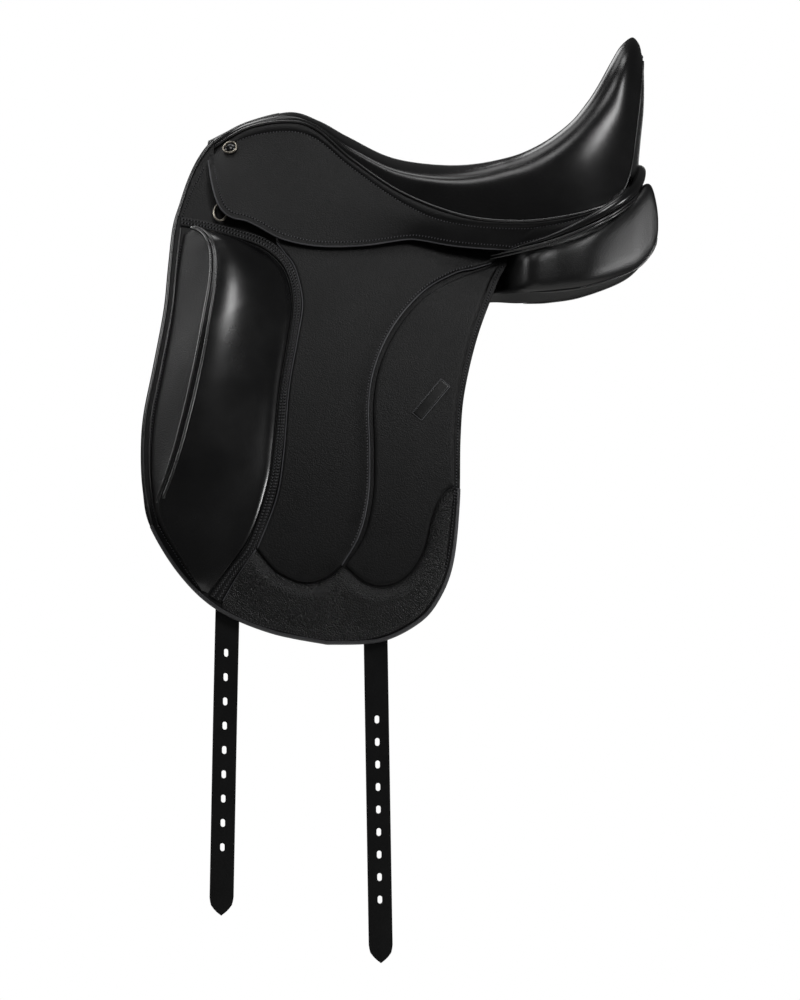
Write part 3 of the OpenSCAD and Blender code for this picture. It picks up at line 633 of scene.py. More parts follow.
def stitch_row(name: str, path: Array, normal: Array, side: Side, lift: float = 0.2) -> Piece:
    """A row of lockstitches: short slanted beads of thread with a near-black bead of painted shade for the
    needle hole between each two.

    Args:
        name: Name of the piece.
        path: Points of (x, w, z) in millimetres, on the leather.
        normal: Outward direction at each point.
        side: The side of the saddle.
        lift: Height of the thread's middle over the leather in millimetres.

    Returns:
        The row as one piece.
    """
    run = travel(path)
    bm = bmesh.new()
    for start, length, width, height, slot in STITCH_BEADS:
        size = (length * STITCH_PITCH, width, height)
        places = np.arange(start * STITCH_PITCH, run[-1], STITCH_PITCH)
        heading = walk(np.gradient(path, run, axis=0), places)
        facing = walk(np.broadcast_to(normal, path.shape), places)
        spot = walk(path, places) + lift * facing
        for p, t, n in zip(side.metres(spot), side.metres(heading), side.metres(facing)):
            t, n = Vector(t).normalized(), Vector(n).normalized()
            b = n.cross(t).normalized()
            t = (t + STITCH_SLANT * b).normalized()
            axes = (t, b, t.cross(b).normalized())
            turn = Matrix([axis * reach * MM for axis, reach in zip(axes, size)])
            spin = Matrix.Translation(Vector(p)) @ turn.transposed().to_4x4()
            made = bmesh.ops.create_icosphere(bm, subdivisions=1, radius=1.0, matrix=spin)
            for face in {f for v in made["verts"] for f in v.link_faces}:
                face.material_index = slot
    bmesh.ops.recalc_face_normals(bm, faces=bm.faces)
    piece = to_object(bm, name, Finish.THREAD)
    piece.data.materials.append(Finish.HOLE.material())
    return piece


def soften(piece: Piece, edge: float, segments: int = 3) -> None:
    """Rounds a piece's sharp edges with a bevel of that many millimetres.

    Args:
        piece: The piece.
        edge: Radius of the edges in millimetres.
        segments: Steps round an edge.
    """
    bevel = piece.modifiers.new("edge", "BEVEL")
    bevel.width = edge * MM
    bevel.segments = segments
    bevel.limit_method = "ANGLE"
    bevel.angle_limit = math.radians(50)
    bevel.use_clamp_overlap = True


def leather_piece(bm: Mesh, name: str, finish: Finish, thickness: float, edge: float) -> Piece:
    """Turns a sheet into a piece with its leather's thickness and a rounded cut edge.

    Args:
        bm: The sheet, which is the outer face.
        name: Name of the piece.
        finish: Its finish.
        thickness: Thickness in millimetres, inwards.
        edge: Radius of the edge in millimetres.

    Returns:
        The piece.
    """
    piece = to_object(bm, name, finish)
    wall = piece.modifiers.new("leather", "SOLIDIFY")
    wall.thickness = thickness * MM
    wall.offset = -1.0
    wall.use_even_offset = False
    soften(piece, edge)
    return piece


# Bodies


def stand_for(piece: Piece, body: str, *nodes: str, slot: Slot = Slot.LEATHER) -> Piece:
    """Hides the nodes a piece replaces and reports it.

    Args:
        piece: The piece.
        body: The body that carries it.
        nodes: Nodes it stands for.
        slot: Its material slot in the record; not used.

    Returns:
        The piece.
    """
    if nodes:
        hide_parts(*nodes)
    LOG.info("%s on %s for %s", piece.name, body, ", ".join(nodes) or "trim")
    return piece


def carry(piece: Piece, body: str, *nodes: str, slot: Slot = Slot.LEATHER) -> Piece:
    """Fixes a piece to a body and names the nodes it stands for."""
    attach(piece, body)
    return stand_for(piece, body, *nodes, slot=slot)


@dataclass(frozen=True)
class Fold:
    """A leather hinge: the body that moves on it and the two ends of the bend."""

    body: str
    start: Vector
    end: Vector

    def carry(self, piece: Piece, *nodes: str) -> Piece:
        """Bakes a piece's transform into its mesh and names the nodes it stands for."""
        self.body
        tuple(self.start)
        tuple(self.end)
        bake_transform(piece)
        return stand_for(piece, self.body, *nodes)


@dataclass
class Sided:
    """A sub-assembly that the saddle has on both sides, and what all of them are made from."""

    side: Side

    def node(self, name: str) -> str:
        """Name of a node, body or piece on this side."""
        return self.side.node(name)

    def cord(
        self, name: str, path: Array, radius: Number, finish: Finish = Finish.PIPING, sides: int = 12
    ) -> Piece:
        """A cord of this side along a path."""
        return tube(self.node(name), path, radius, self.side, finish, sides)

    def stitches(self, name: str, path: Array, normal: Array, lift: float = 0.2) -> Piece:
        """A stitch row of this side along a path."""
        return stitch_row(self.node(name), path, normal, self.side, lift)

    def sheet(
        self, name: str, finish: Finish, size: tuple[int, int], place: Place, thickness: float, edge: float,
        outward: Sequence[float] = (0, 1, 0),
    ) -> Piece:
        """A piece of leather on this side.

        Args:
            name: Name of the piece, without its side.
            finish: Its finish.
            size: Columns and rows of its grid.
            place: Gives (x, w, z) of its outer face for shares across and along.
            thickness: Thickness in millimetres, inwards.
            edge: Radius of its cut edge in millimetres.
            outward: Direction (x, w, z) the outer face looks to.

        Returns:
            The piece.
        """
        bm = laid_grid(*size, place, self.side, outward)
        return leather_piece(bm, self.node(name), finish, thickness, edge)


# Shared surfaces


@dataclass(frozen=True)
class FlapForm:
    """The flap's outer face: a round bend about an axis along the fold, in the fold's own frame."""

    fold_x: float = -300.0
    fold_z: float = 68.0
    fold_drop: float = math.radians(6.84)
    fold_w: float = 108.0
    lean: float = math.radians(27.0)
    radius: float = 1200.0
    width: float = 353.0
    length: float = 410.0
    top: float = 86.0
    thickness: float = 5.0

    def lean_at(self, d: Number) -> Array:
        """Lean from the vertical at a distance down from the fold."""
        return np.arcsin(np.clip(math.sin(self.lean) - d / self.radius, 0, 0.9))

    def out(self, d: Number) -> Array:
        """Distance out from the middle plane at a distance down from the fold."""
        return self.fold_w + self.radius * (np.cos(self.lean_at(d)) - math.cos(self.lean))

    def hang(self, x: Number, z: Number, o: Number) -> Array:
        """Distance out of the layer o over the flap at places of the side view.

        Args:
            x: Places to the rear.
            z: Places up.
            o: Height of the layer over the flap's face.

        Returns:
            Distances out from the middle plane.
        """
        c, s = math.cos(self.fold_drop), math.sin(self.fold_drop)
        d = -((x - self.fold_x) * s + (z - self.fold_z) * c)
        return self.out(d) + o / np.cos(self.lean_at(d))

    def turned(self, x: Number, w: Number, z: Number) -> Array:
        """Vectors of the fold's frame as vectors of (x, w, z)."""
        c, s = math.cos(self.fold_drop), math.sin(self.fold_drop)
        return np.stack([x * c + z * s, w, -x * s + z * c], axis=-1)

    def place(self, s: Number, d: Number, o: Number) -> Array:
        """Points s along the fold, d down from it and o out of the flap's face.

        Args:
            s: Distances along the fold.
            d: Distances down from it.
            o: Heights over the flap's face.

        Returns:
            Points of (x, w, z) in millimetres.
        """
        s, d, o = np.broadcast_arrays(*(np.asarray(value, float) for value in (s, d, o)))
        a = self.lean_at(d)
        local = self.turned(s, self.out(d) + o * np.cos(a), -d + o * np.sin(a))
        return local + np.array([self.fold_x, 0.0, self.fold_z])

    def on(self, flat: Array, o: Number) -> Array:
        """Points at flat places of (along, down), o out of the flap's face."""
        return self.place(flat[:, 0], flat[:, 1], o)

    def normal(self, d: Array) -> Array:
        """Outward direction of the face at a distance down from the fold."""
        a = self.lean_at(np.asarray(d, float))
        return self.turned(np.zeros_like(a), np.cos(a), np.sin(a))

    def share(self, points: Points) -> Array:
        """Places given in percent of the flap's width and length, in millimetres."""
        return np.asarray(points, float) * np.array([self.width, self.length]) / 100

    def curve(self, points: Points) -> Array:
        """Smooth curve through places given in percent."""
        return self.share(smooth(points))


FLAP = FlapForm()

# Outlines on the flap, in percent of its width and length, from the top down
FRONT_EDGE = [(-0.7, 0), (-0.3, 11), (0.2, 22), (-0.6, 37), (-1.4, 49), (-0.6, 58.5), (1.4, 67.6),
              (4.8, 76), (15, 87), (27, 94.6), (43, 98.8), (60, 100)]
BACK_EDGE = [(98.9, 0), (97, 4), (93, 18), (91, 33), (91.4, 45), (93.2, 61), (93.4, 76), (90.7, 85.4),
             (85.6, 92), (75, 97.8), (60, 100)]
BLOCK_FRONT = [(3, 1.4), (2.8, 11), (3.2, 24), (2.6, 37), (1.9, 49), (2.5, 58.5), (4.3, 67.6), (7.6, 75.5),
               (16.4, 85.2), (22.2, 90.8)]
BLOCK_BACK = [(17.5, 1.4), (27, 3.2), (34, 8), (37.4, 16), (37.6, 25), (37, 38), (37.3, 52), (37, 63),
              (33.5, 77), (24.0, 91.0)]
STRIP_INNER = [(1.6, -0.4), (9, -0.2), (18, 0.9), (27, 2.9), (34, 7.6), (37.5, 15.6), (37.8, 25),
               (37.2, 38), (37.5, 52), (37.2, 63), (33.8, 77), (29, 84.4), (24.2, 91.4)]
STRIP_OUTER = [(1.2, -3.0), (9, -2.6), (19, -1.6), (29, 0.4), (36.6, 6.6), (40.2, 15.2), (40.2, 25),
               (39.6, 38), (40.4, 52), (40.0, 64.5), (36.6, 78.4), (31.8, 85.6), (28.3, 93)]
MID_FRONT = [(29.6, -7.5), (29.6, -3), (30.6, 0.9), (33.6, 3.6), (37.1, 7.2), (40.5, 15.6), (40.4, 25),
             (39.8, 38), (40.7, 54), (40.3, 65.5), (36.6, 78.5)]
MID_SEAM = [(98, -7.5), (97, -3), (94.5, -0.4), (89.4, 1.6), (84, 3.4), (75.4, 9), (68, 18.5), (64, 29),
            (63.4, 39), (65.4, 51), (66.6, 62), (65.4, 72), (61.4, 80.2)]
BACK_SEAM = [(95.6, -0.4), (91, 1.9), (86.6, 3.7), (76.4, 10), (69.3, 19), (65.4, 29), (64.8, 39),
             (66.8, 51), (68, 62), (66.8, 72), (62.8, 79.4)]
BACK_TRIM = [(97, -0.4), (96, 1.6), (94.6, 5), (91, 18), (89.2, 33), (89.6, 45), (91.2, 57)]
SCALLOP_FRONT = [(36.4, 78.6), (42.5, 83.4), (50.5, 85.6), (57, 84), (61.4, 80.2)]
SCALLOP_BACK = [(62.4, 80.4), (68.6, 83.8), (74.6, 84.2), (80.6, 81.2), (84.6, 74.8), (86, 66), (88, 60),
                (91.2, 57.4)]
PATCH_FRONT = [(28.6, 92.6), (31.8, 86.2)]
PATCH_FOOT = [(28.8, 94.3), (34, 96.2), (43, 98), (60, 99.2), (74, 97), (84.6, 91.3), (89.6, 84.6),
              (92.3, 75.7), (92.2, 61), (91.8, 58)]


@dataclass(frozen=True)
class SeatForm:
    """The seat's outer face: ribs from edge to edge, at stations from the pommel to the cantle."""

    middle: Points = (
        (-266, 0, 168), (-229, 0, 185), (-182, 0, 197), (-150, 0, 187), (-118, 0, 169), (-70, 0, 145.6),
        (-10, 0, 136), (45, 0, 134.8), (85, 0, 140.5), (122, 0, 156.5), (146, 0, 181.5), (161, 0, 207),
        (171, 0, 235), (179, 0, 259), (185, 0, 273), (190, 0, 271),
    )
    shoulder: Points = (
        (-266, 24, 166), (-229, 26, 184), (-182, 27, 195.5), (-150, 28, 186), (-118, 31, 168),
        (-70, 42, 145), (-10, 60, 136.8), (43, 72, 143.3), (80, 79, 157.6), (112, 79, 180.6),
        (131, 72, 204), (143, 67, 222.5), (155, 59, 243.5), (168, 45, 264.5), (182, 30, 275.5),
        (189.5, 24, 270),
    )
    rim: Points = (
        (-264, 48, 155), (-226, 53, 177), (-182, 55, 184), (-152, 58, 175), (-115, 70, 143), (-62, 94, 106),
        (0, 115, 81), (55, 126, 74), (100, 129, 77.5), (137, 124.6, 86), (163, 115.6, 98.4),
        (176.2, 106.6, 124), (183, 97.4, 163), (189, 82, 208), (193, 57, 243), (192.4, 35, 257),
    )
    # Where each rib's hip lies between shoulder and rim: share back, share out, and share down by station
    hip_back: float = 0.5
    hip_out: float = 0.82
    hip_down: Points = ((4, 0.45), (7, 0.22), (12, 0.24), (15, 0.4))

    def edge(self, s: Number) -> Array:
        """Lower edge of the seat at stations s."""
        return along(self.rim, s)

    def place(self, s: Array, v: Array) -> Array:
        """Points at stations s, from v -1 at the right edge to 1 at the left edge.

        Args:
            s: Stations, counted in ribs.
            v: Shares across.

        Returns:
            Points of (x, w, z) in millimetres.
        """
        middle, shoulder, rim = (along(p, s) for p in (self.middle, self.shoulder, self.rim))
        down = np.interp(s, *np.transpose(self.hip_down))
        shares = np.stack([np.full_like(down, self.hip_back), np.full_like(down, self.hip_out), down], 1)
        hip = mix(shoulder, rim, shares)
        controls = np.stack([shoulder * MIRROR, middle, shoulder, hip, rim, rim])
        q = np.clip(np.abs(v) * 3, 0, 3)
        i = np.clip(np.floor(q).astype(int), 0, 2)
        row = np.arange(len(q))
        point = bend(*(controls[i + k, row] for k in range(4)), (q - i)[:, None])
        point[:, 1] *= np.sign(v)
        return point


SEAT = SeatForm()


# Sub-assemblies


@dataclass
class Seat:
    """Padded seat: foam, glazed cover, cantle facing, its cords and the stuffed roll behind."""

    cover_t: float = 2.5
    foam_t: float = 13.0
    foam_gap: float = 7.5
    # Stations and share of each rib that the foam covers, and how much narrower it is
    foam_span: tuple[float, float] = (0.6, 9.2)
    foam_reach: float = 0.88
    foam_narrow: float = 0.94
    lining_t: float = 1.6
    welt_r: float = 1.5
    seam_r: float = 0.8
    last: float = 15.0
    # Stations where the welts meet the cantle's seams, and where these and the pommel's cords end
    cords_meet: float = 10.4
    seam_end: float = 14.2
    head_end: float = 1.75
    # Where the pommel's upper cord lies across, from front to rear, and how far below it each cord lies
    head_across: tuple[float, float] = (0.93, 0.42)
    head_drops: tuple[float, float] = (0.0, 0.13)
    rows: int = 200
    columns: int = 110
    # Passes that draw the flanks taut lengthwise, and passes that iron the rear half across
    pulls: int = 80
    ironing: int = 40
    # How far the cover turns down and inwards over the pommel's front, and down and out over the cantle's top
    front_lip: tuple[float, float] = (8.0, 3.4)
    top_lip: tuple[float, float] = (9.0, 2.6)
    # Back of the cantle from foot to top, as x and z in the middle plane
    spine: Points = (
        (190.4, 110), (190.2, 135), (192.4, 165), (195.2, 195), (195.6, 225), (194, 251), (190, 271),
    )
    # Roll round the back, from its left front end to the middle plane, and its radius by x
    roll_line: Points = (
        (58, 134, 46), (80, 138.5, 52), (105, 140, 61.5), (130, 138, 73.5), (150.5, 132, 85),
        (168.5, 120.5, 97.5), (181, 101, 110), (187.5, 71, 121.5), (190.5, 36, 131), (191.5, 0, 135),
    )
    roll_r: Points = ((58, 1.6), (90, 2.6), (130, 4.0), (160, 5.4), (185, 6.6))
    # Edge of the lining between the panels, from front to rear
    sill: Points = (
        (-262, 64, 70), (-240, 58, 77), (-150, 43, 77), (-60, 38, 66.5), (10, 37, 61.5), (46, 38, 61),
        (85, 39, 66), (135, 41, 83), (170, 47, 93),
    )
    # How far the lining reaches past that edge, how high it arches and how far it hangs
    sill_lap: float = 3.0
    sill_arch: float = 4.0
    sill_drop: float = 2.0

    def build(self) -> None:
        """Builds every piece of the seat."""
        self.cover()
        self.foam()
        self.facing()
        self.roll()
        self.cords()
        self.lining()

    def cover(self) -> None:
        """Builds the leather cover from pommel to cantle."""
        skin = self.skin()

        def place(u: Array, t: Array) -> Array:
            """Point of the cover."""
            return skin[np.rint(t * self.rows).astype(int), np.rint(u * self.columns).astype(int)]

        bm = laid_grid(self.columns, self.rows, place, Side.LEFT, (0, 0, 1))
        piece = leather_piece(bm, "seat_leather", Finish.GLAZED, self.cover_t, 0.7)
        carry(piece, "saddle", "seat_cover")

    def skin(self) -> Array:
        """Points of the cover, with a lip over the pommel's front and the cantle's back and taut flanks.

        Returns:
            The points by row, from pommel to cantle, and column, from the right edge to the left.
        """
        ahead, behind = 0.4, 0.5
        stations = np.linspace(-ahead, self.last + behind, self.rows + 1)
        s, v = np.meshgrid(stations, np.linspace(-1, 1, self.columns + 1), indexing="ij")
        lip = rise(s, 0, -ahead) * math.pi / 2
        over = rise(s, self.last, behind)
        points = SEAT.place(np.clip(s, 0, self.last).ravel(), v.ravel()).reshape(*s.shape, 3)
        points[..., 0] += self.top_lip[1] * over**0.7 * (1 - 0.7 * v**2) - self.front_lip[1] * np.sin(lip)
        points[..., 2] += -self.front_lip[0] * (1 - np.cos(lip)) - self.top_lip[0] * over
        out, strength = np.abs(v), 0.5
        flank = rise(out, 0.4, 0.2) * rise(out, 1, -0.1)
        iron(points, strength * flank * rise(s, 7.5, 2) * rise(s, 14.6, -1.2), self.pulls)
        across = strength * rise(s, 5.5, 2) * rise(out, 1, -0.15)
        iron(points.swapaxes(0, 1), across.T, self.ironing)
        return points

    def foam(self) -> None:
        """Builds the foam under the cover."""

        def place(u: Array, t: Array) -> Array:
            """Point of the foam's upper face, a little under the cover and inside its edges."""
            upper = SEAT.place(mix(*self.foam_span, t), self.foam_reach * (2 * u - 1))
            return upper * (1, self.foam_narrow, 1) - (0, 0, self.foam_gap)

        bm = laid_grid(40, 60, place, Side.LEFT, (0, 0, 1))
        piece = leather_piece(bm, "seat_padding", Finish.FOAM, self.foam_t, 2.0)
        carry(piece, "saddle", "seat_foam", slot=Slot.FOAM)

    def facing(self) -> None:
        """Builds the leather over the back of the cantle."""
        # Station of its foot, the share up where it begins to follow the cover, and its place under that
        foot, top_from, tucked = 11.0, 0.72, (-2.2, 0, -2.5)

        def place(u: Array, t: Array) -> Array:
            """Point of the facing, from the foot to the top of the cantle.

            Args:
                u: Shares across.
                t: Shares up.

            Returns:
                Points of (x, w, z) in millimetres.
            """
            v = 2 * u - 1
            edge = SEAT.edge(foot + (self.last - foot) * t)
            spine = along(self.spine, (len(self.spine) - 1) * t)
            bow = np.abs(v) ** (2 + 3 * t**2)
            x = mix(spine[:, 0], edge[:, 0] + 0.3, bow)
            z = mix(spine[:, 1], edge[:, 2] - 0.4, bow)
            plain = np.stack([x, v * (edge[:, 1] - 0.6), z], 1)
            top = SEAT.place(np.full_like(v, self.last), v) + tucked
            return mix(plain, top, rise(t, top_from, 1 - top_from)[:, None] ** 2)

        bm = laid_grid(48, 70, place, Side.LEFT, (1, 0, 0))
        piece = leather_piece(bm, "cantle_leather", Finish.GLAZED, self.cover_t, 0.6)
        carry(piece, "saddle", "cantle_facing")

    def roll(self) -> None:
        """Builds the roll round the back of the seat, drawn out into thin piping at its front ends."""
        half = smooth(self.roll_line)
        path = even(np.concatenate([half, (half * MIRROR)[-2::-1]]), 150)
        size = np.interp(path[:, 0], *np.transpose(self.roll_r))
        piece = tube("cantle_roll_leather", path, size, Side.LEFT, Finish.GLAZED, 20)
        carry(piece, "saddle", "cantle_roll")

    def cords(self) -> None:
        """Builds the welts, the cantle seams and the pommel's two cords a side."""
        for side in Side:
            welt = SEAT.edge(np.linspace(0, self.cords_meet, 160)) + (0, self.welt_r + 0.5, -0.6)
            piece = tube(side.node("welt_cord"), welt, self.welt_r, side, Finish.PIPING)
            carry(piece, "saddle", side.node("seat_welt"))
            seam = SEAT.edge(np.linspace(self.cords_meet, self.seam_end, 90)) + (0.3, 0.1, -0.2)
            carry(tube(side.node("cantle_seam_cord"), seam, self.seam_r, side, Finish.PIPING, 8), "saddle")
            s = np.linspace(0.02, self.head_end, 80)
            thin = np.interp(s, [0, 1.1, self.head_end], [1.0, 0.8, 0.2])
            for k, drop in enumerate(self.head_drops):
                across = mix(*self.head_across, (s / self.head_end) ** 0.6) - drop
                head = SEAT.place(s, across) + (0, 0.2, 0.2)
                carry(tube(side.node(f"pommel_cord_{k + 1}"), head, thin, side, Finish.PIPING, 8), "saddle")

    def lining(self) -> None:
        """Builds the leather between the panels that hides the tree from below."""

        def place(u: Array, t: Array) -> Array:
            """Point of the lining, a little arched across.

            Args:
                u: Shares across.
                t: Shares along.

            Returns:
                Points of (x, w, z) in millimetres.
            """
            v = 2 * u - 1
            rest = along(self.sill, (len(self.sill) - 1) * t)
            high = rest[:, 2] + self.sill_arch * (1 - v * v) - self.sill_drop
            return np.stack([rest[:, 0], v * (rest[:, 1] + self.sill_lap), high], 1)

        bm = laid_grid(24, 70, place, Side.LEFT, (0, 0, -1))
        carry(leather_piece(bm, "channel_lining", Finish.STRIP, self.lining_t, 0.4), "saddle")


@dataclass
class Skirt(Sided):
    """Small flap under the rider's thigh: sewn to the seat's edge above, free below its fold."""

    thickness: float = 3.5
    gap: float = 1.6
    band_w: float = 10.0
    band_h: float = 2.2
    # Share along the skirt where the padded band begins to grow, and the share over which it does
    band_grows: tuple[float, float] = (0.03, 0.07)
    inset: float = 5.0
    edge_r: float = 0.9
    count: int = 150
    rows: int = 44
    # Last station of the seat's edge that it is sewn to, and where it lies from that edge
    last: float = 10.3
    tucked: tuple[float, float, float] = (0, 1.4, -2.4)
    # How far the leather bows out over its fold, the way the padded band stands out, and the stitches' facing
    bow: tuple[float, float, float] = (0, 1.6, 0.8)
    band_out: tuple[float, float, float] = (0, 0.82, 0.57)
    facing: tuple[float, float, float] = (0, 0.9, 0.44)
    # Distances down from the fold's line where the leather begins and ends to bend
    bends: tuple[float, float] = (-10.0, 5.0)
    front: tuple[float, float] = (-266.0, 141.0)
    tail: Points = ((53, 126, 46), (88, 131.5, 55), (129, 131, 72), (146, 126.5, 82), (157, 119.5, 92))
    # Lower edge as x, z and its height over the flap
    lobe: Points = (
        (-266, 141, 1.6), (-262, 118, 7), (-256.5, 98, 9.5), (-250, 86, 9.5), (-240, 78.5, 9),
        (-226, 75.5, 8), (-212, 69, 7), (-190, 57, 6), (-165, 50.5, 5.2), (-138, 48, 5), (-100, 49.5, 5.5),
        (-60, 55.5, 7), (-43, 55, 8.5), (-10, 49, 12), (25, 45.6, 16), (51, 44.6, 20),
    )
    # Distances of the close rows along the padded band from the upper edge
    band_rows: Sequence[float] = (0, 1, 2.2, 3.6, 5, 6.4, 7.8, 9, 9.7, 10, 10.6, 12)

    def ends(self) -> tuple[Array, Array]:
        """Front and rear end of the fold."""
        x, z = self.front
        return np.array([x, FLAP.hang(x, z, self.thickness + self.gap), z]), np.array(self.tail[0], float)

    def lines(self) -> tuple[Array, Array, Array]:
        """Upper edge, fold and lower edge at even shares along the skirt.

        Returns:
            The three lines. Behind the fold's end the lower edge and the fold are the same.
        """
        share = np.linspace(0, 1, self.count + 1)
        upper = SEAT.edge(self.last * share) + self.tucked
        ahead, behind = self.ends()
        fold = np.concatenate([np.linspace(ahead, behind, 200)[:-1], smooth(self.tail, 20)])
        run = travel(fold)[-1]
        split = np.linalg.norm(behind - ahead) / run
        middle = walk(fold, share * run)
        x, z, high = smooth(self.lobe, 10).T
        low = np.stack([x, np.minimum(FLAP.hang(x, z, high + self.thickness), behind[1]), z], 1)
        lower = walk(low, np.clip(share / split, 0, 1) * travel(low)[-1])
        return upper, middle, np.where((share <= split)[:, None], lower, middle)

    def columns(self) -> list[Array]:
        """Smooth lines from the upper edge over the fold to the lower edge.

        Returns:
            One line of points per column.
        """
        found = []
        for top, fold, low in zip(*self.lines()):
            above, below = np.linalg.norm(fold - top), np.linalg.norm(low - fold)
            share = above / (above + below)
            waist = mix(fold, mix(top, low, share), 0.5) if share < 0.98 else mix(top, low, 0.5)
            found.append(even(smooth([top, waist + self.bow, low], 40), 140))
        return found

    def raised(self, column: Array, distance: Array, share: float) -> Array:
        """Points of a column, with the padded band that grows behind the stud and follows the seat's edge.

        Args:
            column: The column's line.
            distance: Distances down it.
            share: Where the column lies along the skirt, from 0 at the front to 1.

        Returns:
            Points of (x, w, z) in millimetres.
        """
        high = self.band_h * rise(share, *self.band_grows)
        arch = high * np.sqrt(np.maximum(0, np.sin(rise(distance, 0, self.band_w) * math.pi)))
        return walk(column, distance) + arch[:, None] * self.band_out

    @property
    def fold(self) -> Fold:
        """The fold that the skirt lifts on.

        Returns:
            The fold, with the places where the leather begins and ends to bend.
        """
        ahead, behind = self.ends()
        axis = (behind - ahead) / np.linalg.norm(behind - ahead)
        down = np.array([0, 0.45, -0.9])
        down -= axis * (down @ axis)
        down /= np.linalg.norm(down)
        start, end = (self.side.vector(mix(ahead, behind, 0.4) + reach * down) for reach in self.bends)
        return Fold(self.node("skirt"), start, end)

    def build(self) -> None:
        """Builds the skirt, its stitching and the edge of its lower side."""
        columns = self.columns()
        band = np.array(self.band_rows)
        rest = swell(np.linspace(0, 1, self.rows - len(band) + 2)[1:])
        lines = []
        for i, column in enumerate(columns):
            marks = np.concatenate([band, mix(band[-1], travel(column)[-1], rest)])
            lines.append(self.raised(column, marks, i / self.count))
        points = np.array(lines)

        def place(u: Array, t: Array) -> Array:
            """Point of the skirt, with close rows along the padded band."""
            return points[np.rint(u * self.count).astype(int), np.rint(t * self.rows).astype(int)]

        size = (self.count, self.rows)
        piece = self.sheet("skirt_leather", Finish.CALF, size, place, self.thickness, 1.1, (0, 1, 0.3))
        self.fold.carry(piece, self.node("skirt_top"), self.node("skirt"))
        self.stitching(columns)

    def stitching(self, columns: list[Array]) -> None:
        """Builds the stitch rows inside the lower edge and under the padded band, and the pale lower edge.

        Args:
            columns: The skirt's columns, each from its upper to its lower edge.
        """
        out = np.array(self.facing)
        # Columns round the front corner, where the inset is measured square to the edge, and the first
        # column with a seam under the band
        corner, first = 46, 9
        rim = np.array([c[-1] for c in columns])
        x, z = inside(rim[:corner, ::2], self.inset).T
        w = rim[:corner, 1] + FLAP.hang(x, z, 0.3) - FLAP.hang(*rim[:corner, ::2].T, 0.0)
        ahead = np.stack([x, w, z], 1)[1:-1]
        rest = [walk(c, np.array([travel(c)[-1] - self.inset]))[0] for c in columns[corner + 1 : -1]]
        edge = even(np.concatenate([ahead, rest]), 400)
        self.fold.carry(self.stitches("skirt_stitching", edge, out))
        under = np.array([self.band_w + 0.5])
        seam = even(np.concatenate([self.raised(c, under, 1.0) for c in columns[first:-1]]), 400)
        self.fold.carry(self.stitches("skirt_band_stitching", seam, out, lift=0.0))
        rim[:, ::2] = inside(rim[:, ::2], -0.3)
        rim[:, 1] -= 0.7
        self.fold.carry(self.cord("skirt_edge", even(rim, 300), self.edge_r, Finish.EDGE, 10))


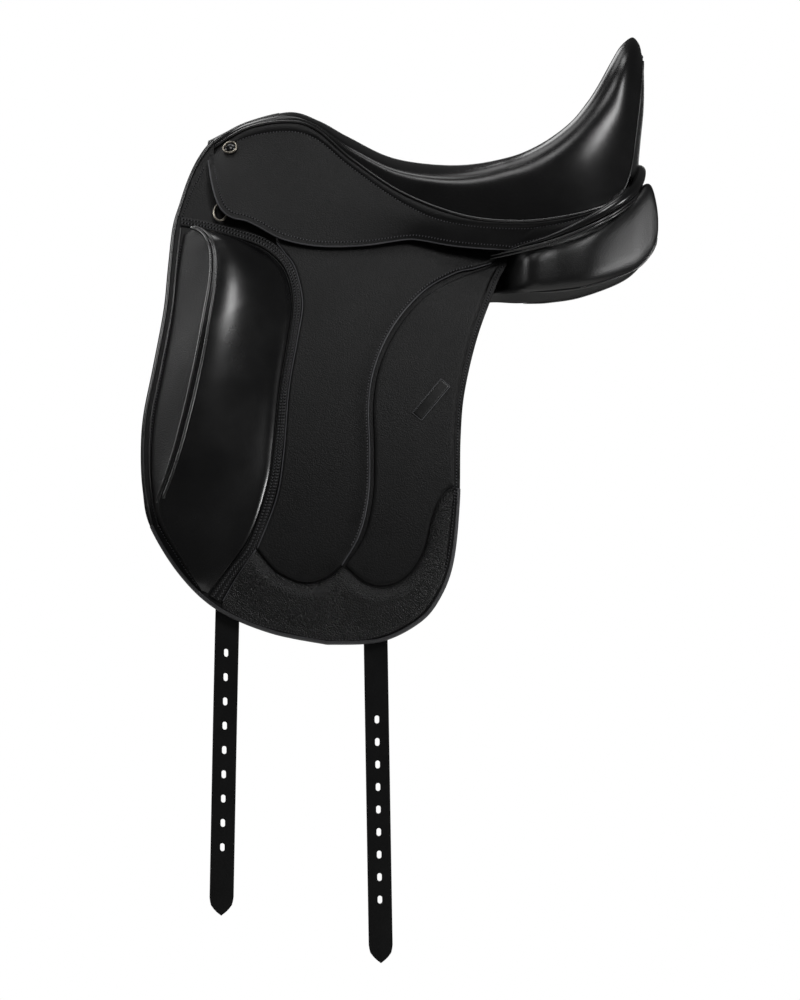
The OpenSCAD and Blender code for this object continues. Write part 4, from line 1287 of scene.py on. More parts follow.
@dataclass
class Flap(Sided):
    """Long leg flap: main leather, sewn panels, grained patch, bound foot and stuffed knee block."""

    panel_t: float = 2.5
    sewn: float = 0.6
    edge_r: float = 0.8
    # Width of the middle and the rear panel's soft edges, and height and width of the rear one's crown
    mid_edge: float = 2.6
    back_edge: float = 4.0
    crown: tuple[float, float] = (0.5, 50.0)
    # Height and width of the middle panel's rise where it laps over the next one
    lap: tuple[float, float] = (0.9, 9.0)
    # Width of the patch's round lip, and of its fall to the foot
    lip: tuple[float, float] = (14.0, 30.0)
    # Height of the lip and of the foot over the panels' height, and width of the foot's soft edge
    patch_h: tuple[float, float] = (3.4, -0.4)
    patch_edge: float = 4.5
    # A place along the fold, and distances down from it where the leather begins and ends to bend
    bend_at: float = 150.0
    bends: tuple[float, float] = (-11.0, 2.5)
    # Opening for the stirrup leather: lowest and highest x, lowest and highest z
    window: tuple[float, float, float, float] = (-220.0, -105.0, 80.0, 114.0)
    tab_size: tuple[float, float] = (46.0, 12.0)
    tab_turn: float = math.radians(57)
    tab_at: tuple[float, float] = (81.5, 36.5)
    # Height of the tab's foot over the flap, its own height and the radius of its edge
    tab_base: float = 3.2
    tab_h: float = 1.6
    tab_round: float = 1.2
    # The strip round the block: its points along, and where its two rows of stitches lie across
    strip_count: int = 1100
    strip_rows: tuple[float, float] = (0.32, 0.70)
    # Width across that a row draws in, height of the strip's edges and of its crown over them
    strip_pull: float = 0.10
    strip_h: tuple[float, float] = (0.5, 1.5)
    # Shares of the length where the binding begins in front and behind, how far it reaches in from the cut
    # edge and past it, and its height over the flap
    bound_from: tuple[float, float] = (0.76, 0.575)
    bound_w: tuple[float, float] = (3.0, 0.6)
    bound_h: float = 1.7

    @property
    def body(self) -> str:
        """The moving body of the flap."""
        return self.node("flap")

    @property
    def fold(self) -> Fold:
        """The fold that the flap lifts on."""
        start, end = (self.side.vector(FLAP.place(self.bend_at, d, 0.0)) for d in self.bends)
        return Fold(self.body, start, end)

    def build(self) -> None:
        """Builds every piece of the flap."""
        self.leather()
        self.mid_panel()
        self.back_panel()
        self.tab()
        self.patch()
        self.strip()
        self.binding()
        self.edge_cords()
        self.stitching()
        KneeBlock(self.side).build()

    def leather(self) -> None:
        """Builds the main leather, from under the skirt to the foot, with the stirrup bar's window."""
        high = FLAP.top / FLAP.length * 100
        front = [(7.2, -24.4), (5.6, -22.4), (4.0, -19.6), (2.6, -16.2), (1.3, -11.6), (0.3, -6.3)]
        back = [(7.6, -24.4), (8.6, -0.885 * high), (40, -0.86 * high), (52, -0.78 * high),
                (66, -0.56 * high), (82, -0.36 * high), (99.6, -0.2 * high)]
        ahead = FLAP.curve([*front, *FRONT_EDGE])
        behind = np.concatenate([FLAP.share(back), FLAP.curve(BACK_EDGE)])
        spread = self.rows_between(ahead, behind, 0.15, 0.0)

        def place(u: Array, t: Array) -> Array:
            """Point of the leather between its front and back edges."""
            return FLAP.on(spread(u, t), 0.0)

        bm = laid_grid(90, 150, place, self.side, (0, 1, 0))
        self.cut_window(bm)
        piece = leather_piece(bm, self.node("flap_leather"), Finish.CALF, FLAP.thickness - 0.2, 1.6)
        self.fold.carry(piece, self.node("flap_top"), self.body)

    def cut_window(self, bm: Mesh) -> None:
        """Cuts the opening that the stirrup leather passes through.

        Args:
            bm: The flap's leather, changed in place.
        """
        x0, x1, z0, z1 = (v * MM for v in self.window)
        margin = 0.02
        for spot, axis in (((x0, 0, 0), (1, 0, 0)), ((x1, 0, 0), (1, 0, 0)), ((0, 0, z0), (0, 0, 1)),
                           ((0, 0, z1), (0, 0, 1))):
            near = [f for f in bm.faces if f.calc_center_median().z > z0 - margin]
            parts = {e for f in near for e in f.edges} | {v for f in near for v in f.verts} | set(near)
            bmesh.ops.bisect_plane(bm, geom=list(parts), plane_co=spot, plane_no=axis, dist=1e-7)
        middles = ((face, face.calc_center_median()) for face in bm.faces)
        gone = [face for face, c in middles if x0 < c.x < x1 and z0 < c.z < z1]
        bmesh.ops.delete(bm, geom=gone, context="FACES")

    def pillow(
        self, name: str, finish: Finish, size: tuple[int, int], spread: Place, top: Callable[[Array], Array]
    ) -> Piece:
        """A sewn panel whose face rises from its seams.

        Args:
            name: Name of the piece, without its side.
            finish: Its finish.
            size: Columns and rows of its grid.
            spread: Gives (along, down) for shares across and along.
            top: Gives the height over the seam for places of (along, down).

        Returns:
            The panel, down to the flap's face.
        """

        def place(u: Array, t: Array) -> Array:
            """Point of the panel's face."""
            flat = spread(u, t)
            return FLAP.on(flat, self.sewn + top(flat))

        return self.sheet(name, finish, size, place, self.panel_t - 0.4, 0.3)

    @staticmethod
    def rows_between(ahead: Array, behind: Array, margin: float = 0.02, crowding: float = 0.6) -> Place:
        """Rows from a front curve to a back curve, closer together towards the foot.

        Args:
            ahead: Front curve, from the top down.
            behind: Back curve, from the top down.
            margin: How far over the foot the last row lies, in millimetres.
            crowding: How much closer the columns lie at both sides, from 0 to 1.

        Returns:
            A function of the shares across and down that gives (along, down).
        """
        top = max(ahead[0, 1], behind[0, 1])
        foot = min(ahead[-1, 1], behind[-1, 1]) - margin

        def spread(u: Array, t: Array) -> Array:
            """Place of a share across and a share down.

            Args:
                u: Shares across.
                t: Shares down.

            Returns:
                Places of (along, down).
            """
            d = foot - (foot - top) * (1 - t) ** 1.5
            left, right = (np.interp(d, e[:, 1], e[:, 0]) for e in (ahead, behind))
            return np.stack([mix(left, right, crowded(u, crowding)), d], 1)

        return spread

    def scalloped(self, front: Array, back: Array, foot: Array) -> tuple[Place, Array]:
        """Rows and outline of a panel with a round foot.

        Args:
            front: Front edge, from the top to the foot's front end.
            back: Back edge, from the top to the foot's back end.
            foot: The foot, from front to back.

        Returns:
            The rows, and the outline in order.
        """
        low = int(np.argmax(foot[:, 1]))
        ahead = np.concatenate([front[:-1], foot[: low + 1]])
        behind = np.concatenate([back[:-1], foot[: low - 1 : -1]])
        return self.rows_between(ahead, behind), np.concatenate([ahead, behind[::-1], ahead[:1]])

    def mid_panel(self) -> None:
        """Builds the middle panel, which runs up under the skirt and laps over the rear panel."""
        seam = FLAP.curve(MID_SEAM)
        spread, outline = self.scalloped(FLAP.curve(MID_FRONT), seam, FLAP.curve(SCALLOP_FRONT))

        def top(flat: Array) -> Array:
            """Height of the face: a soft edge, a little higher where it laps over the next panel.

            Args:
                flat: Places of (along, down).

            Returns:
                Heights over the seam.
            """
            high, wide = self.lap
            lap = high * np.exp(-((edge_distance(flat, seam) / wide) ** 2))
            return (self.panel_t + lap) * rounded(edge_distance(flat, outline), self.mid_edge)

        piece = self.pillow("flap_middle_leather", Finish.CALF, (80, 130), spread, top)
        self.fold.carry(piece, self.node("flap_mid_panel"))

    def back_panel(self) -> None:
        """Builds the rear panel."""
        foot = FLAP.curve(SCALLOP_BACK) + (0, -1.0)
        spread, outline = self.scalloped(FLAP.curve(BACK_SEAM), FLAP.curve(BACK_TRIM), foot)

        def top(flat: Array) -> Array:
            """Height of the face: a soft edge and a faint crown.

            Args:
                flat: Places of (along, down).

            Returns:
                Heights over the seam.
            """
            high, wide = self.crown
            distance = edge_distance(flat, outline)
            return (self.panel_t - 0.3) * rounded(distance, self.back_edge) + high * rise(distance, 0, wide)

        piece = self.pillow("flap_back_leather", Finish.CALF, (70, 130), spread, top)
        self.fold.carry(piece, self.node("flap_rear_panel"))

    def tab(self) -> None:
        """Builds the blank leather tab sewn on the rear panel, with its pale cut edge."""
        long, wide = self.tab_size
        c, s = math.cos(self.tab_turn), math.sin(self.tab_turn)
        middle = FLAP.share(self.tab_at)

        def turned(a: Array, b: Array, o: Number) -> Array:
            """Point a along the tab, b across it and o over the flap."""
            return FLAP.place(middle[0] - a * c - b * s, middle[1] + a * s - b * c, o)

        def place(u: Array, t: Array) -> Array:
            """Point of the tab, with a rounded edge.

            Args:
                u: Shares along the tab.
                t: Shares across it.

            Returns:
                Points of (x, w, z) in millimetres.
            """
            a, b = (u - 0.5) * long, (t - 0.5) * wide
            edge = np.minimum(long / 2 - np.abs(a), wide / 2 - np.abs(b))
            return turned(a, b, self.tab_base + self.tab_h * rounded(edge, self.tab_round))

        piece = self.sheet("blank_tab", Finish.GLAZED, (46, 16), place, 0.6, 0.1)
        carry(piece, self.body, self.node("flap_tab"), slot=Slot.GRAIN)
        corners = np.array([(0.5, 0.5), (0.5, -0.5), (-0.5, -0.5), (-0.5, 0.5), (0.5, 0.5)]) * self.tab_size
        path = turned(*even(corners, 120).T, self.tab_base + 0.6)
        carry(self.cord("tab_edge", path, 0.55, Finish.EDGE, 8), self.body, slot=Slot.GRAIN)

    def patch(self) -> None:
        """Builds the grained patch at the foot, with a rounded lip along its scallops."""
        scallops = np.concatenate([FLAP.curve(SCALLOP_FRONT), FLAP.curve(SCALLOP_BACK)]) + (0, 1.6)
        lip = np.concatenate([FLAP.share(PATCH_FRONT), scallops])
        foot = FLAP.curve(PATCH_FOOT)
        foot = foot[: int(np.argmax(foot[:, 0])) + 1]
        lip_w, fall_w = self.lip
        lip_h, foot_h = (self.panel_t + more for more in self.patch_h)

        def spread(u: Array, t: Array) -> Array:
            """Place of a share along the patch and a share down.

            Args:
                u: Shares along.
                t: Shares down.

            Returns:
                Places of (along, down).
            """
            s = mix(lip[0, 0], min(foot[-1, 0], lip[-1, 0]), swell(u) ** 0.85)
            high, low = (np.interp(s, e[:, 0], e[:, 1]) for e in (lip, foot))
            return np.stack([s, mix(high, np.maximum(low, high + 0.3), crowded(t))], 1)

        def top(flat: Array) -> Array:
            """Height of the face: a broad round lip under the scallops that falls to the bound foot.

            Args:
                flat: Places of (along, down).

            Returns:
                Heights over the seam.
            """
            near = edge_distance(flat, scallops)
            high = mix(lip_h, foot_h, rise(near, lip_w, fall_w))
            return high * swell(near / lip_w) * rounded(edge_distance(flat, foot), self.patch_edge)

        piece = self.pillow("flap_patch_leather", Finish.PEBBLED, (150, 40), spread, top)
        carry(piece, self.body, self.node("flap_patch"), slot=Slot.GRAIN)

    def strip(self) -> None:
        """Builds the strip round the block, drawn in by its two rows of stitches."""
        inner, outer = (even(FLAP.curve(line), self.strip_count) for line in (STRIP_INNER, STRIP_OUTER))
        lines = {share: mix(inner, outer, share) for share in self.strip_rows}

        def place(u: Array, t: Array) -> Array:
            """Point of the strip, crowned and drawn in at each needle hole.

            Args:
                u: Shares across.
                t: Shares along.

            Returns:
                Points of (x, w, z) in millimetres.
            """
            i = np.rint(t * (self.strip_count - 1)).astype(int)
            drawn = np.zeros_like(u)
            for share, line in lines.items():
                pull = (0.5 + 0.5 * np.cos(2 * math.pi * travel(line)[i] / STITCH_PITCH)) ** 2
                drawn += pull * np.exp(-(((u - share) / self.strip_pull) ** 2))
            edge_h, crown_h = self.strip_h
            high = edge_h + crown_h * np.sin(math.pi * u) ** 0.35 - drawn
            return FLAP.on(mix(inner[i], outer[i], u[:, None]), high)

        size = (20, self.strip_count - 1)
        self.fold.carry(self.sheet("block_strip", Finish.STRIP, size, place, 0.8, 0.0))
        for k, line in enumerate(lines.values()):
            self.sew(f"strip_stitching_{k + 1}", line, 1.6)

    def binding(self) -> None:
        """Builds the bound edge round the foot of the flap."""
        count = 220
        ring = even(np.concatenate([FLAP.curve(FRONT_EDGE), FLAP.curve(BACK_EDGE)[-2::-1]]), 900)
        front_top, back_top = (share * FLAP.length for share in self.bound_from)
        keep = (ring[:, 1] > front_top) | ((ring[:, 1] > back_top) & (ring[:, 0] > FLAP.width / 2))
        edge = even(ring[keep], count)
        inward = inside(edge, -1.0) - edge
        thick = FLAP.thickness / 2
        reach, past = self.bound_w

        def place(u: Array, t: Array) -> Array:
            """Point of the binding, wrapped round the cut edge.

            Args:
                u: Shares round the edge.
                t: Shares along it.

            Returns:
                Points of (x, w, z) in millimetres.
            """
            i = np.rint(t * (count - 1)).astype(int)
            turn = math.pi * (u - 0.5)
            wrap = reach - (reach + past) * np.cos(turn) ** 0.7
            flat = edge[i] + inward[i] * wrap[:, None]
            return FLAP.on(flat, -thick + (thick + self.bound_h) * np.sin(turn))

        bm = laid_grid(16, count - 1, place, self.side, None)
        aim = Vector((0, self.side.value, 0))
        flat_faces = [f for f in bm.faces if abs(f.normal.dot(aim)) > 0.9]
        outermost = max(flat_faces, key=lambda f: f.calc_center_median().dot(aim))
        if outermost.normal.dot(aim) < 0:
            bmesh.ops.reverse_faces(bm, faces=bm.faces)
        piece = leather_piece(bm, self.node("foot_binding"), Finish.BINDING, 0.8, 0.2)
        carry(piece, self.body, self.node("flap_binding"), slot=Slot.GRAIN)

    def edge_cords(self) -> None:
        """Builds the rolled cord along the front edge, the cord behind it and the panels' pale cut edges."""
        upper = [(7.6, -23.8), (6.2, -21.8), (4.7, -19.2), (3.3, -16), (2, -11.5), (1, -6.3)]
        front, inner = ([(s + back, d) for s, d in FRONT_EDGE[:8]] for back in (0.75, 2.5))
        # Line, its points, its height over the flap, radius, finish and faces round it
        cords = {
            "front_edge_cord": ([*upper, *front], 260, 0.7, 1.5, Finish.PIPING, 12),
            "mid_seam_edge": (MID_SEAM[2:], 200, 2.2, self.edge_r, Finish.EDGE, 8),
            "mid_front_edge": (MID_FRONT[2:], 200, 1.7, self.edge_r, Finish.EDGE, 8),
            "patch_front_edge": ([*PATCH_FRONT, (36.2, 78.9)], 200, 2.0, self.edge_r, Finish.EDGE, 8),
            "front_inner_cord": (inner, 220, 0.5, 1.1, Finish.PIPING, 10),
        }
        for name, (line, count, high, radius, finish, sides) in cords.items():
            path = FLAP.on(even(FLAP.curve(line), count), high)
            self.fold.carry(self.cord(name, path, radius, finish, sides))

    def sew(self, name: str, line: Array, height: float) -> None:
        """Builds a stitch row along a line of (along, down) on the flap."""
        self.fold.carry(self.stitches(name, FLAP.on(line, height), FLAP.normal(line[:, 1])))

    def stitching(self) -> None:
        """Builds the stitch rows of the flap's edges and seams."""
        high = FLAP.top / FLAP.length * 100
        upper = [(6.0, -0.80 * high), (4.6, -0.62 * high), (3.2, -0.44 * high), (2.0, -0.2 * high),
                 (1.6, -0.10 * high)]
        rows = {
            "flap_top_stitching": (FLAP.curve(upper), 0.1),
            "flap_back_stitching": (inside(FLAP.curve(BACK_EDGE[:6]), 3.4), 0.2),
            "flap_seam_stitching": (inside(FLAP.curve(MID_SEAM[3:]), 2.2)[:-5], 3.9),
            "patch_stitching": (inside(FLAP.curve(PATCH_FOOT), -2.0), 1.8),
        }
        for name, (line, height) in rows.items():
            self.sew(name, even(line, 300), height)


@dataclass
class KneeBlock(Sided):
    """Stuffed block on the front of the flap, with a steep front strip, a piped ridge and a glazed face."""

    height: float = 40.0
    ridge_r: float = 1.8
    second_r: float = 1.6
    foot_h: float = 2.5
    sewn: float = 0.3
    shell_t: float = 1.4
    # Share of the grid in front of the ridge
    split: float = 0.3
    # Where the ridge is highest: it swells up to the first share down, then to the second, then tapers
    crown_v: float = 0.1
    full_v: float = 0.3
    # The ridge's height at the top, at the crown and at the foot, as shares of the full height
    top_h: float = 0.5
    crown_h: float = 0.86
    low_h: float = 0.14
    # Share of the ridge's height that both faces reach, and how far the rear one bulges
    face_h: float = 0.9
    bulge: float = 0.04
    # Shares of the grid over which the block rounds down: in front, behind, at the top and at the foot
    round_off: tuple[float, float, float, float] = (0.03, 0.06, 0.035, 0.10)
    # The ridge, as shares down and across
    ridge: Points = (
        (0.0, 0.10), (0.03, 0.29), (0.06, 0.365), (0.11, 0.392), (0.16, 0.378), (0.21, 0.348),
        (0.27, 0.318), (0.34, 0.302), (0.42, 0.293), (0.50, 0.268), (0.58, 0.216), (0.64, 0.15),
        (0.68, 0.095), (0.72, 0.045), (0.8, 0.03), (1.0, 0.03),
    )

    def ridge_at(self, v: Array) -> Array:
        """Share of a row where the ridge lies."""
        return np.interp(v, *smooth(self.ridge, 12).T)

    def row_h(self, v: Array) -> Array:
        """Height of the ridge of a row.

        Args:
            v: Shares down.

        Returns:
            Heights in millimetres.
        """
        crown = mix(self.top_h, self.crown_h, swell(v / self.crown_v))
        full = mix(self.crown_h, 1.0, swell((v - self.crown_v) / (self.full_v - self.crown_v)))
        taper = mix(1.0, self.low_h, rise(v, self.full_v, 1 - self.full_v) ** 1.15)
        return self.height * np.where(v < self.crown_v, crown, np.where(v < self.full_v, full, taper))

    def up(self, u: Array, v: Array) -> Array:
        """Height over the flap at a share across and a share down.

        Args:
            u: Shares across.
            v: Shares down.

        Returns:
            Heights in millimetres.
        """
        r, h = self.ridge_at(v), self.row_h(v)
        strip = mix(self.foot_h, self.face_h * h, np.clip(u / r, 0, 1) ** 0.9)
        t = np.clip((u - r) / (1 - r), 0, 1)
        fall = np.maximum(0, self.face_h * h - self.foot_h) * np.cos(t * math.pi / 2) ** 0.9
        face = self.foot_h + fall + self.bulge * h * np.sin(np.minimum(1, t * 1.2) * math.pi)
        return np.where(u < r, strip, face)

    def place(self, u: Array, v: Array, o: Array) -> Array:
        """Point of the block at a share across and down, o over the flap.

        Args:
            u: Shares across.
            v: Shares down.
            o: Heights over the flap's face.

        Returns:
            Points of (x, w, z) in millimetres.
        """
        last = len(BLOCK_FRONT) - 1
        ahead, behind = (FLAP.share(along(p, last * v)) for p in (BLOCK_FRONT, BLOCK_BACK))
        return FLAP.on(mix(ahead, behind, u[:, None]), o)

    def build(self) -> None:
        """Builds the gusset, the stuffed face, the ridge cords and the front stitching."""
        self.shell("block_gusset", Finish.CALF, 14, 0.0, self.split)
        self.shell("block_leather", Finish.GLAZED, 34, self.split, 1.0, self.node("knee_block"))
        v = np.linspace(0.01, 0.715, 160)
        cords = ((-0.022, self.ridge_r, [self.node("block_piping")]), (0.034, self.second_r, []))
        for k, (shift, radius, nodes) in enumerate(cords):
            u = self.ridge_at(v) + shift
            path = self.place(u, v, self.sewn + self.up(u, v) + 0.3)
            carry(self.cord(f"ridge_cord_{k + 1}", path, radius), self.node("flap"), *nodes)
        v = np.linspace(0.04, 0.97, 300)
        path = self.place(np.full_like(v, -0.012), v, np.full_like(v, 0.4))
        carry(self.stitches("block_stitching", path, FLAP.normal(360.0 * v)), self.node("flap"))

    def shell(self, name: str, finish: Finish, columns: int, begin: float, end: float, *nodes: str) -> None:
        """Builds one of the two stuffed parts, which meet along the ridge.

        Args:
            name: Name of the piece, without its side.
            finish: Its finish.
            columns: Steps across.
            begin: Share of the block's grid where the part begins.
            end: Share where it ends.
            nodes: Nodes it stands for.
        """

        def place(u: Array, t: Array) -> Array:
            """Point of the part, rounded down to the flap along the block's outline.

            Args:
                u: Shares across the part.
                t: Shares down.

            Returns:
                Points of (x, w, z) in millimetres.
            """
            step = mix(begin, end, u)
            r = self.ridge_at(t)
            behind = r + (step - self.split) / (1 - self.split) * (1 - r)
            share = np.where(step <= self.split, step / self.split * r, behind)
            front, back, top, foot = self.round_off
            rim = np.minimum(rounded(step, front), rounded(1 - step, back))
            ends = rounded(t, top) * rounded(1 - t, foot)
            height = self.up(share, t) * mix(0.05, 1.0, np.minimum(rim, ends))
            return self.place(share, t, self.sewn + height)

        piece = self.sheet(name, finish, (columns, 120), place, self.shell_t, 0.3)
        carry(piece, self.node("flap"), *nodes, slot=Slot.STUFFED)


@dataclass
class Panel(Sided):
    """Stuffed panel that lies on the horse's back, with a deep rear gusset and its seams."""

    half: float = 148.0
    layer: float = -19.2
    piping_r: float = 1.4
    # Shares of the length over which the front and the rear end close
    closing: tuple[float, float] = (0.05, 0.03)
    # Shares of the length where the lower seam begins and ends, and its turn round the panel
    seam_span: tuple[float, float] = (0.56, 0.975)
    seam_turn: float = math.radians(306)
    # Cross sections under the flap: x, upper and lower z outside, inner corner and lower corner as w and z
    front: Points = (
        (-268, 64, 38, 74, 66, 82, 34), (-240, 74, 16, 58, 80, 78, 10), (-150, 70, 0, 42, 80, 60, 2),
        (-60, 62, -6, 37, 71.6, 46, 6), (10, 55, -8, 36, 66.6, 40, 10), (38, 51, -6.5, 37, 65.2, 40, 11.6),
    )
    # Cross sections behind it: x and four corners as w and z, the outer ones' w counted from the half width
    rear: Points = (
        (66, 38, 68, -9, 44, -1, -6, 41, 14), (100, 39, 78, -8, 56, -1, -5, 43, 22),
        (135, 40, 88, -14, 70, -8, 0, 44, 30), (178, 48, 106, -40, 102, -36, 15, 50, 46),
        (199, 60, 117, -56, 114, -54, 36, 62, 55), (208, 68, 84, -64, 84, -64, 62, 69, 62),
    )
    # The piped seam along the top of the rear end
    top_line: Points = (
        (30, 131, 37), (59.5, 139, 43.5), (95, 144, 52.5), (129.4, 143, 66), (155.4, 134, 79.5),
        (179, 111, 97), (189, 84, 110),
    )

    def sections(self) -> Array:
        """Cross sections as x and the w and z of four corners: inner, upper, outer and lower.

        Returns:
            One row per section, from front to rear.
        """
        found = []
        for x, high, low, w_in, z_in, w_low, z_low in self.front:
            upper, lower = (FLAP.hang(x, z, self.layer) for z in (high, low))
            found.append((x, w_in, z_in, upper, high, lower, low, w_low, z_low))
        for x, w_in, z_in, w_up, high, w_out, low, w_low, z_low in self.rear:
            found.append((x, w_in, z_in, self.half + w_up, high, self.half + w_out, low, w_low, z_low))
        return np.array(found, float)

    def ring(self, t: Array, turn: Array) -> Array:
        """Point of the panel at a share along it and a turn round it, in radians.

        Args:
            t: Shares along the panel, from front to rear.
            turn: Turns round it in radians.

        Returns:
            Points of (x, w, z) in millimetres.
        """
        sections = self.sections()
        r = along(sections, (len(sections) - 1) * t)
        inner, upper, outer, lower = (r[:, k : k + 2] for k in (1, 3, 5, 7))
        round_way = np.stack([np.cos(turn), np.sin(turn)])[..., None]
        u, v = 0.5 + 0.5 * np.sign(round_way) * np.sqrt(np.abs(round_way))
        flat = mix(mix(lower, outer, u), mix(inner, upper, u), v)
        front, rear = self.closing
        close = np.minimum(rounded(t, front), rounded(1 - t, rear))[:, None]
        flat = mix((inner + upper + outer + lower) / 4, flat, np.maximum(close, 0.02))
        return np.concatenate([r[:, :1], flat], 1)

    def build(self) -> None:
        """Builds the stuffed panel and its piped seams."""

        def place(u: Array, t: Array) -> Array:
            """Point of the panel's skin."""
            return self.ring(t, 2 * math.pi * u)

        bm = laid_grid(72, 150, place, self.side, None)
        close_shape(bm, True)
        piece = to_object(bm, self.node("panel_leather"), Finish.PANEL)
        carry(piece, "saddle", self.node("panel"), slot=Slot.STUFFED)
        first, last = self.seam_span
        t = np.linspace(first, last, 120)
        path = self.ring(t, np.full_like(t, self.seam_turn)) + (0, 0.5, -0.5)
        size = np.interp(t, [first, 0.62, 0.95, last], [0.2, self.piping_r, self.piping_r, 0.3])
        carry(self.cord("panel_seam_cord", path, size), "saddle", self.node("panel_piping"))
        for k, drop in enumerate((0.0, 3.0)):
            line = smooth(self.top_line, 12) - (0, 0.2 * drop, drop)
            size = np.interp(line[:, 0], [30, 66], [0.3, 1.3])
            carry(self.cord(f"panel_top_cord_{k + 1}", line, size), "saddle")


@dataclass
class Stud(Sided):
    """Head stud: a plated ring round a plain enamelled cap, set on the skirt."""

    radius: float = 8.0
    lift: float = math.radians(34)
    turn: float = math.radians(14)
    sunk: float = 0.7

    def build(self) -> None:
        """Builds the ring and the cap by spinning their profiles about the stud's axis."""
        r, node = self.radius, self.node("head_stud")
        flat = math.cos(self.lift)
        across = (-math.sin(self.turn) * flat, self.side.value * math.cos(self.turn) * flat)
        axis = Vector((*across, math.sin(self.lift)))
        middle = sum(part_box(node), Vector()) / 2 - axis * self.sunk * MM
        ring = [(r - 0.9, 0.9), (r, 1.5), (r + 0.1, 2.6), (r - 0.3, 3.5), (r - 0.9, 3.8), (r - 1.5, 3.5),
                (r - 1.8, 2.6), (r - 1.7, 1.6), (r - 0.9, 0.9)]
        cap = [(0.02, 3.6), (r * 0.3, 3.45), (r * 0.55, 2.95), (r - 2.2, 2.3), (r - 1.6, 1.4), (0.02, 1.2)]
        stand = Matrix.Translation(middle) @ axis.to_track_quat("Z", "Y").to_matrix().to_4x4()
        carry(self.spun("stud_ring", ring, Finish.NICKEL, stand), "saddle", node, slot=Slot.NICKEL)
        carry(self.spun("stud_cap", cap, Finish.ENAMEL, stand), "saddle", slot=Slot.NICKEL)

    def spun(self, name: str, profile: Points, finish: Finish, stand: Matrix) -> Piece:
        """A profile of (radius, height) turned about the stud's axis.

        Args:
            name: Name of the piece, without its side.
            profile: Points of (radius, height) in millimetres.
            finish: Its finish.
            stand: Where the stud stands and the way it faces.

        Returns:
            The piece.
        """
        bm = bmesh.new()
        verts = [bm.verts.new((p[0] * MM, 0, p[1] * MM)) for p in profile]
        edges = [bm.edges.new(pair) for pair in zip(verts, verts[1:])]
        bmesh.ops.spin(
            bm, geom=[*verts, *edges], cent=(0, 0, 0), axis=(0, 0, 1), angle=2 * math.pi, steps=48,
            use_merge=True,
        )
        close_shape(bm, False)
        bmesh.ops.transform(bm, matrix=stand, verts=bm.verts)
        return to_object(bm, self.node(name), finish)


@dataclass
class Dee(Sided):
    """Ring of plated wire that hangs from the leather loop on the upper flap."""

    at: tuple[float, float] = (45.5, -30.0)
    out: float = 3.8
    width: float = 14.0
    length: float = 21.5
    wire_r: float = 1.35

    def build(self) -> None:
        """Builds the ring, a little longer than wide, with its top inside the loop."""
        turn = np.linspace(0, 2 * math.pi, 61)
        flat = np.stack([self.width / 2 * np.sin(turn), self.length / 2 * (1 - np.cos(turn))], 1)
        lean = FLAP.lean_at(self.at[1])
        across, down = FLAP.turned(1.0, 0.0, 0.0), FLAP.turned(0.0, np.sin(lean), -np.cos(lean))
        path = FLAP.place(*self.at, self.out) + flat[:, :1] * across + flat[:, 1:] * down
        piece = self.cord("dee_wire", path, self.wire_r, Finish.NICKEL, 16)
        carry(piece, self.node("dee"), self.node("dee_ring"), slot=Slot.NICKEL)


@dataclass
class Fittings:
    """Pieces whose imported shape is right: each keeps its solid and gets its finish and rounded edges."""

    # Finish and edge radius of each; the billets keep their crisp cut edges
    edges: dict[str, tuple[Finish, float]] = field(default_factory=lambda: {
        "tree": (Finish.BEECH, 2.0), "seat_webs": (Finish.TAPE, 0.3), "pommel_facing": (Finish.STRIP, 0.9),
        "gullet_plate": (Finish.STEEL, 0.8), "gullet_rivets": (Finish.STEEL, 0.5),
        "billet_front": (Finish.STRAP, 0.0), "billet_rear": (Finish.STRAP, 0.0),
        "girth_webs": (Finish.TAPE, 0.4), "sweat_flap": (Finish.STRAP, 1.1), "dee_chape": (Finish.STRIP, 0.5),
        "stirrup_bar": (Finish.STEEL, 1.2), "bar_catch": (Finish.STEEL, 0.8),
        "catch_pin": (Finish.STEEL, 0.3),
    })

    def build(self) -> None:
        """Dresses the solids that stay."""
        for name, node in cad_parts.items():
            if node.hide_render:
                continue
            finish, edge = self.edges[name.removesuffix("_left").removesuffix("_right")]
            node.data.materials.clear()
            node.data.materials.append(finish.material())
            if edge:
                node.modifiers.new("weld", "WELD").merge_threshold = 1e-5
                soften(node, edge, 2)
            LOG.info("%s keeps its solid in %s", name, finish.name.lower())


# Studio


@dataclass(frozen=True)
class SoftBox:
    """A lamp at a turn to the right of the camera and a lift, in degrees, with its size and power."""

    name: str
    turn: float
    lift: float
    size: tuple[float, float]
    power: float

    def build(self, aim: Vector, reach: float) -> None:
        """Builds the lamp at that reach from the point it faces.

        Args:
            aim: The point it faces.
            reach: Its distance from that point in metres.
        """
        a, e = math.radians(self.turn), math.radians(self.lift)
        lamp = bpy.data.lights.new(self.name, "AREA")
        lamp.shape = "RECTANGLE"
        lamp.size, lamp.size_y = self.size
        lamp.energy = self.power
        light = bpy.data.objects.new(self.name, lamp)
        way = Vector((math.sin(a) * math.cos(e), -math.cos(a) * math.cos(e), math.sin(e)))
        light.location = aim + way * reach
        light.rotation_euler = way.to_track_quat("Z", "Y").to_euler()
        light.visible_camera = False
        bpy.context.scene.collection.objects.link(light)


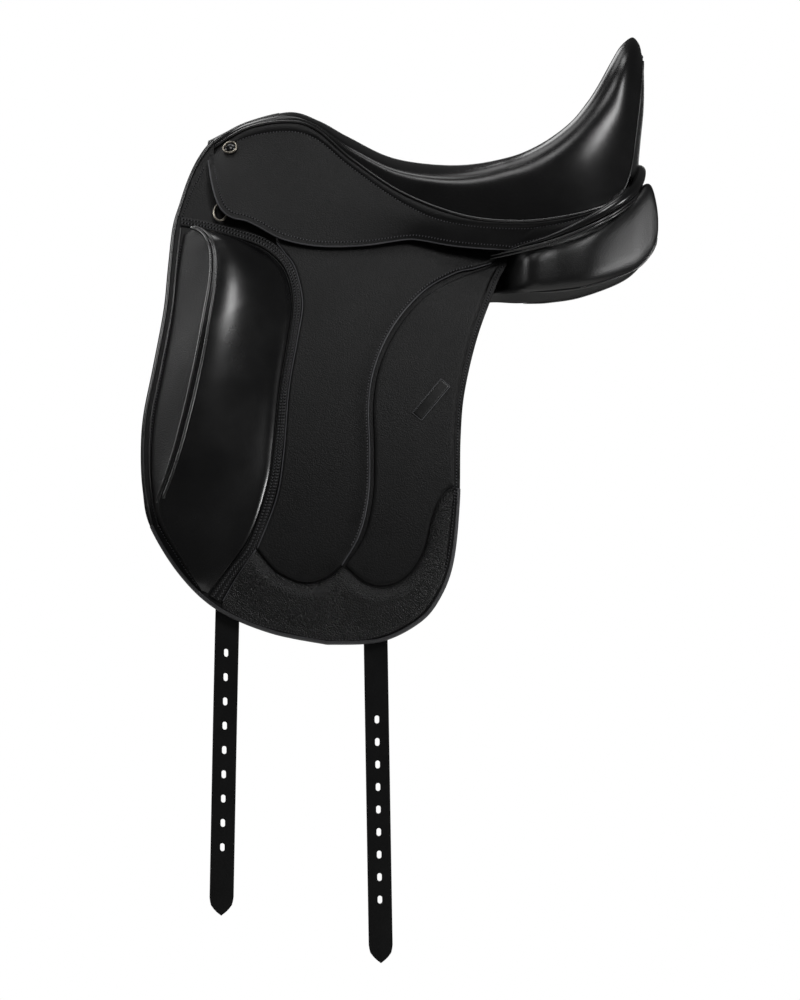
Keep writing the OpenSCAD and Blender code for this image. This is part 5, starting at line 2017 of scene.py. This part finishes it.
@dataclass
class Studio:
    """Camera at the photograph's angle, soft light and a pale floor well below the hanging straps."""

    distance: float = 5.0
    centre: tuple[float, float] = (-0.0642, -0.2172)
    view_h: float = 1.07
    floor_z: float = -1.15
    floor_r: float = 1.6
    aim: tuple[float, float, float] = (-0.05, -0.1, 0.05)
    reach: float = 2.9
    # Each box's mirror image falls on one highlight; the far ones light the right side
    boxes: Sequence[SoftBox] = (
        SoftBox("key_strip", 30.0, 40.0, (0.5, 1.05), 14.0),
        SoftBox("right_low", 78.0, -2.0, (0.6, 0.5), 14.0),
        SoftBox("left_front", -34.0, 59.0, (0.7, 0.5), 4.0),
        SoftBox("left_top", -132.0, 64.0, (1.2, 0.8), 4.5),
        SoftBox("left_side", -88.0, 27.0, (0.9, 0.8), 10.0),
        SoftBox("left_rear", -125.0, 22.0, (1.5, 0.7), 9.0),
        SoftBox("overhead", -40.0, 86.0, (1.0, 0.6), 6.0),
        SoftBox("below", 0.0, -38.0, (2.0, 1.0), 3.0),
        SoftBox("far_key", 205.0, 38.0, (0.9, 1.05), 9.0),
        SoftBox("far_side", 176.0, 8.0, (1.0, 0.6), 3.0),
    )

    def build(self) -> None:
        """Builds the camera, the lights, the surroundings and the floor."""
        self.camera()
        for box in self.boxes:
            box.build(Vector(self.aim), self.reach)
        self.surroundings()
        self.floor()
        bpy.context.scene.view_settings.view_transform = "Standard"

    def camera(self) -> None:
        """Builds the camera, level with the middle of the picture."""
        lens = bpy.data.cameras.new("camera")
        lens.sensor_width = 36.0
        lens.lens = lens.sensor_width * self.distance / self.view_h
        lens.clip_end = 100.0
        camera = bpy.data.objects.new("camera", lens)
        camera.location = (self.centre[0], -self.distance, self.centre[1])
        camera.rotation_euler = (math.pi / 2, 0, 0)
        bpy.context.scene.collection.objects.link(camera)
        bpy.context.scene.camera = camera

    def surroundings(self) -> None:
        """Builds the white surroundings: bright behind the object, dim as a source of light."""
        world = bpy.data.worlds.new("studio")
        world.use_nodes = True
        tree = world.node_tree
        tree.nodes.clear()
        ray = add(tree, "LightPath")
        dim, white = (
            add(tree, "Background", {"Color": (1, 1, 1, 1), "Strength": strength}).outputs["Background"]
            for strength in (0.05, 1.0)
        )
        either = add(tree, "MixShader", {}, {0: ray.outputs["Is Camera Ray"], 1: dim, 2: white})
        add(tree, "OutputWorld", {}, {"Surface": either.outputs["Shader"]})
        bpy.context.scene.world = world

    def floor(self) -> None:
        """Builds the round pale floor."""
        bm = bmesh.new()
        bmesh.ops.create_circle(bm, cap_ends=True, segments=96, radius=self.floor_r)
        bmesh.ops.translate(bm, verts=bm.verts, vec=(0, 0, self.floor_z))
        mesh = bpy.data.meshes.new("floor")
        bm.to_mesh(mesh)
        bm.free()
        paint = bpy.data.materials.new("floor_paint")
        paint.use_nodes = True
        wire(paint.node_tree.nodes["Principled BSDF"], {"Base Color": linear("#f2f2f0"), "Roughness": 0.8})
        mesh.materials.append(paint)
        floor = bpy.data.objects.new("floor", mesh)
        bpy.context.scene.collection.objects.link(floor)
        floor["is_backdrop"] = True


def write_sizes() -> None:
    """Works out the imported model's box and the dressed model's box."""
    boxes = {"cad": CAD_BOX, "visual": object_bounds()}
    {name: [list(corner) for corner in box] for name, box in boxes.items()}


def main() -> None:
    """Builds the studio and every piece of the saddle, in order."""
    logging.basicConfig(level=logging.INFO, format="%(message)s")
    Studio().build()
    Seat().build()
    for side in Side:
        for part in (Skirt, Flap, Panel, Stud, Dee):
            part(side).build()
    Fittings().build()
    write_sizes()


if __name__ == "__main__":
    main()
